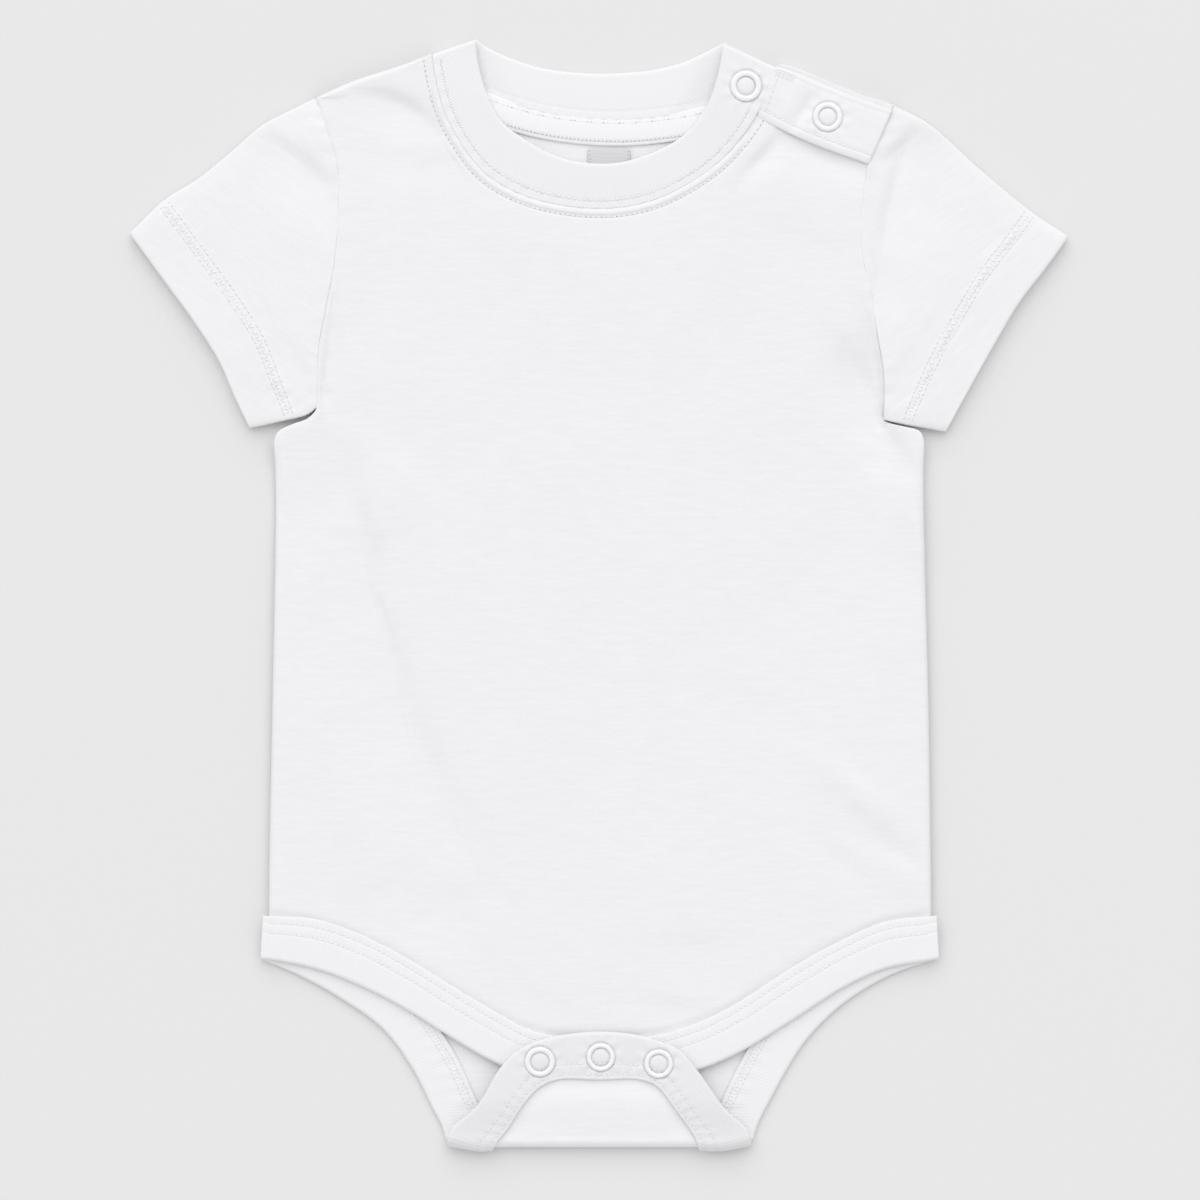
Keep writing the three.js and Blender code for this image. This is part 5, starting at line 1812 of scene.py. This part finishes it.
@dataclass
class Sewing:
    """All stitches, gathered row by row into one mesh of threads and one of grey discs with the needle pits'
    painted shade.
    """

    pitch: float = 1.9
    width: float = 0.34
    threads: list[Array] = field(default_factory=list)
    holes: list[Array] = field(default_factory=list)

    def row(
        self, line: Array, kind: StitchKind = StitchKind.STRAIGHT, swing: float = 0.0,
        pitch: float | None = None, pit: float = 0.15,
    ) -> None:
        """Adds a row along a line of surface points.

        Straight stitches run end to end along the line. In a zigzag each end swings sideways by
        turns, so the stitches slant.

        Args:
            line: Close points on the cloth's surface.
            kind: Straight or zigzag.
            swing: Half the zigzag's width, in millimetres.
            pitch: Stitch length, in millimetres.
            pit: Radius of the grey disc that paints the shade of each needle pit, in millimetres.
        """
        step = pitch or self.pitch
        lengths = np.linalg.norm(np.diff(line, axis=0), axis=1)
        walked = np.concatenate([[0], np.cumsum(lengths)])
        count = max(2, int(walked[-1] / step))
        at = np.linspace(0, walked[-1], count + 1)
        ends = np.stack([np.interp(at, walked, line[:, k]) for k in range(3)], axis=1)
        if kind is StitchKind.ZIGZAG:
            side = sideways(np.gradient(ends, axis=0))
            ends = ends + side * (swing * np.where(np.arange(len(ends)) % 2, 1, -1))[:, None]
        self.threads.append(np.stack([ends[:-1], ends[1:]], axis=1))
        self.holes.append(np.column_stack([ends, np.full(len(ends), pit)]))

    def build(self, finishes: Finishes) -> None:
        """Makes the threads and the holes as two joined meshes and rides them.

        A thread is a five-ring, six-sided spindle from hole to hole that arches over the cloth. Each
        hole's shade is painted on a seven-sided grey disc just over it.
        """
        start, end = np.moveaxis(np.concatenate(self.threads), 1, 0)
        ahead = end - start
        long = np.linalg.norm(ahead, axis=1, keepdims=True)
        ahead = ahead / np.maximum(long, 1e-9)
        side = sideways(ahead)
        up = np.cross(side, -ahead)
        up *= np.sign(up[:, 2:3] + 1e-9)
        along, arch, girth = np.array(SPINDLE).T
        girth = girth * self.width / 2
        turn = np.linspace(0, math.tau, SPINDLE_SIDES, endpoint=False)
        middle = start[:, None] + ahead[:, None] * (long[:, None] * along[None, :, None])
        middle = middle + up[:, None] * arch[None, :, None]
        cosine, sine = np.cos(turn)[None, None, :, None], np.sin(turn)[None, None, :, None]
        ring = side[:, None, None] * cosine + up[:, None, None] * sine
        points = middle[:, :, None] + ring * girth[None, :, None, None]
        each = len(SPINDLE) * SPINDLE_SIDES
        faces = grid_faces(len(SPINDLE), SPINDLE_SIDES, closed=True)
        cap = np.arange(SPINDLE_SIDES)
        caps = np.stack([cap[::-1], cap + each - SPINDLE_SIDES])
        shift = (np.arange(len(start)) * each)[:, None, None]
        flat = points.reshape(-1, 3)
        sides = (faces[None] + shift).reshape(-1, 4)
        caps = (caps[None] + shift).reshape(-1, SPINDLE_SIDES)
        if not outward(flat[:each], faces):
            sides, caps = sides[:, ::-1], caps[:, ::-1]
        piece = Surface(flat, [sides, caps], flat[:, :2].copy()).make("stitch_threads", finishes.thread)
        place_piece(piece, "jersey")

        # Grey seven-sided discs over the cloth paint the shade of each needle pit.
        spots = np.concatenate(self.holes)
        turn = np.linspace(0, math.tau, HOLE_SIDES, endpoint=False)
        disc = np.stack([np.cos(turn), np.sin(turn), np.zeros(HOLE_SIDES)], axis=1)
        points = spots[:, None, :3] + disc[None] * spots[:, None, 3:] + np.array([0, 0, 0.06])
        faces = np.arange(len(spots) * HOLE_SIDES).reshape(-1, HOLE_SIDES)
        flat = points.reshape(-1, 3)
        piece = Surface(flat, [faces], flat[:, :2].copy()).make("needle_pit_painted_shade_discs", finishes.hole)
        place_piece(piece, "jersey")


class Seamstress:
    """Lays every row of stitches on the finished surfaces."""

    def __init__(self, sewing: Sewing, front: FrontPanel, rails: Rails) -> None:
        """Keeps what the rows are laid on."""
        self.sewing = sewing
        self.front = front
        self.rails = rails

    def neckline(self, neckline: Neckline) -> None:
        """Rows along the neckband seam, the back seam and the tape."""
        fold, sewn = Path.through(FRONT_BAND_INNER), Path.through(FRONT_BAND_SEAM)
        v = np.linspace(0.015, 0.93, 700)
        flat = mix(fold.at(v), sewn.at(v), BAND_ROW / STACK.band_width)
        z = neckline.front_base(v) + STACK.band + 0.04 + 0.08 * smooth(np.minimum(v, 1 - v) / 0.16)
        self.sewing.row(lifted(flat, z), StitchKind.ZIGZAG, 0.45, 0.95, 0.07)
        v = np.linspace(0.012, 0.925, 700)
        line = sewn.beside(-PANEL_ROW).at(v)
        # By the wearer's right shoulder the panel's grid is coarser than its groove, so the row lies higher
        height = self.front.height(line[:, 0], line[:, 1]) + 0.05 + 0.2 * bell((v - 0.075) / 0.035)
        self.sewing.row(lifted(line, height), pitch=1.8, pit=0.26)
        back = Path.through(BACK_BAND_SEAM)
        line = back.beside(-0.9).at(np.linspace(0.12, 0.88, 500))
        tape_top = STACK.tape + STACK.jersey
        self.sewing.row(lifted(line, tape_top + 0.16), pitch=1.4, pit=0.27)
        low, high = neckline.tape_rails()
        v = np.linspace(0.02, 0.98, 500)
        line = mix(low.at(v), high.at(v), TAPE_ROW / (STACK.tape_width + STACK.tape_lap))
        self.sewing.row(lifted(line, tape_top + 0.2), pitch=1.4, pit=0.27)
        start, end = LABEL_ROW_ENDS
        for x in LABEL_ROWS:
            line = np.linspace((x, start), (x, end), 60)
            self.sewing.row(lifted(line, STACK.on_back + 0.74), pitch=1.3, pit=0.3)

    def bindings(self, legs: LegBindings) -> None:
        """Twin rows on the front and flap, and the cover stitch inside the back."""
        plan = [
            (self.rails.front, legs.lift_front, legs.section, legs.section.rows),
            (self.rails.flap, legs.lift_flap, legs.flap_section, legs.flap_section.rows),
        ]
        for rails in (self.rails.back_right, self.rails.back_left):
            plan.append((rails, legs.lift_back, legs.back_section, (11.4, 13.8)))
            across = legs.back_section.rows[0]
            line = self._along(legs, rails, legs.lift_back, legs.back_section, across)
            self.sewing.row(line, StitchKind.ZIGZAG, 1.0, 1.3)
        for rails, lift, section, rows in plan:
            for across in rows:
                self.sewing.row(self._along(legs, rails, lift, section, across))

    def _along(
        self, legs: LegBindings, rails: tuple[Path, Path], lift: Callable[[Array, Array], Array],
        section: BindingSection, across: float,
    ) -> Array:
        """Close points on a binding's top at a distance from its free edge."""
        ring = np.array([[across, float(section.top(np.array(across)))]])
        return legs.surface(rails, lift, np.linspace(0.01, 0.985, 900), ring)[:, 0]

    def placket(self, opening: ShoulderOpening) -> None:
        """The placket's edge row, its short upright row and the tacked corner."""
        u = np.linspace(0.01, 0.985, 200)
        self.sewing.row(opening.surface(u, np.full_like(u, 0.155)))
        v = np.linspace(0.2, 0.95, 60)
        self.sewing.row(opening.surface(np.full_like(v, 0.045), v))
        for row in range(4):
            u = np.linspace(0.02, 0.14, 30)
            self.sewing.row(opening.surface(u, np.full_like(u, 0.84 + 0.035 * row)), pitch=1.1, pit=0.08)

    def sleeves(self, *sleeves: Sleeve) -> None:
        """Twin rows round each hem."""
        for sleeve in sleeves:
            for inset in HEM_ROWS:
                self.sewing.row(sleeve.stitch_line(inset), pit=0.2)
            self.sewing.row(sleeve.stitch_line(sum(HEM_ROWS) / 2), StitchKind.ZIGZAG, 1.1, 1.3, 0.04)


@dataclass(frozen=True)
class Studio:
    """Floor, soft light and the camera straight above."""

    frame_width: float = 0.42
    distance: float = 2.2
    middle: tuple[float, float] = (0.00035, -0.00175)
    sky: float = 0.70
    window: float = 1.23
    near_light: float = 0.8
    near_size: float = 1.4
    near_place: tuple[float, float, float] = (0.08, 0.9, 1.0)
    near_slant: float = 42.0
    slant: float = 40.0
    softness: float = 70.0
    turn: float = 5.0

    def floor(self) -> None:
        """Lays the plain pale ground."""
        bpy.ops.mesh.primitive_plane_add(size=6, location=(0, 0, -0.0002))
        ground = bpy.context.object
        ground.name = "ground"
        ground.data.materials.append(Floor("ground_paper").make())

    def _hang(self, name: str, kind: str, energy: float, slant: float, turn: float) -> bpy.types.Object:
        """Adds a lamp that is slanted back and turned by so many degrees."""
        lamp = bpy.data.lights.new(name, kind)
        lamp.energy = energy
        holder = bpy.data.objects.new(name, lamp)
        holder.rotation_euler = (math.radians(-slant), 0.0, math.radians(turn))
        bpy.context.scene.collection.objects.link(holder)
        return holder

    def light(self) -> None:
        """Sends wide soft light from beyond the neck end, far and near, and fills with an even sky."""
        scene = bpy.context.scene
        scene.view_settings.view_transform = "Standard"
        scene.view_settings.look = "None"
        world = bpy.data.worlds.new("sky")
        scene.world = world
        world.use_nodes = True
        background = world.node_tree.nodes["Background"]
        background.inputs["Color"].default_value = (1.0, 1.0, 1.0, 1.0)
        background.inputs["Strength"].default_value = self.sky
        window = self._hang("window", "SUN", self.window, self.slant, self.turn)
        window.data.angle = math.radians(self.softness)
        panel = self._hang("near_panel", "AREA", self.near_light, self.near_slant, -self.turn)
        panel.data.size = self.near_size
        panel.location = self.near_place

    def camera(self) -> None:
        """Sets a long lens straight above the garment, picture up towards the neck."""
        lens = bpy.data.cameras.new("overhead")
        lens.sensor_width = 36.0
        lens.lens = 36.0 * self.distance / self.frame_width
        lens.clip_end = 20.0
        holder = bpy.data.objects.new("overhead", lens)
        holder.location = (*self.middle, self.distance)
        bpy.context.scene.collection.objects.link(holder)
        bpy.context.scene.camera = holder


def main() -> None:
    """Builds the garment piece by piece, dresses it and sets up the studio."""
    logging.basicConfig(level=logging.INFO, format="%(name)s: %(message)s")
    studio = Studio()
    studio.camera()
    finishes = Finishes()
    rails = Rails()
    front = FrontPanel(rails)
    front.build(finishes)
    BackPanel(rails).build(finishes)
    right = Sleeve(
        "right_sleeve", "sleeve_right", SLEEVE_RIGHT_TOP, SLEEVE_RIGHT_HEM, SLEEVE_RIGHT_UNDER, ARMHOLE_RIGHT
    )
    right.build(finishes.sleeve_right)
    left = Sleeve(
        "left_sleeve", "sleeve_left", SLEEVE_LEFT_TOP, SLEEVE_LEFT_HEM, SLEEVE_LEFT_UNDER, ARMHOLE_LEFT
    )
    left.build(finishes.sleeve_left)
    neckline = Neckline()
    neckline.build(finishes)
    opening = ShoulderOpening()
    opening.build(finishes)
    legs = LegBindings(rails)
    legs.build(finishes)
    RingSnaps().build(finishes)
    sewing = Sewing()
    seamstress = Seamstress(sewing, front, rails)
    seamstress.neckline(neckline)
    seamstress.bindings(legs)
    seamstress.placket(opening)
    seamstress.sleeves(right, left)
    sewing.build(finishes)
    studio.floor()
    studio.light()


if __name__ == "__main__":
    main()
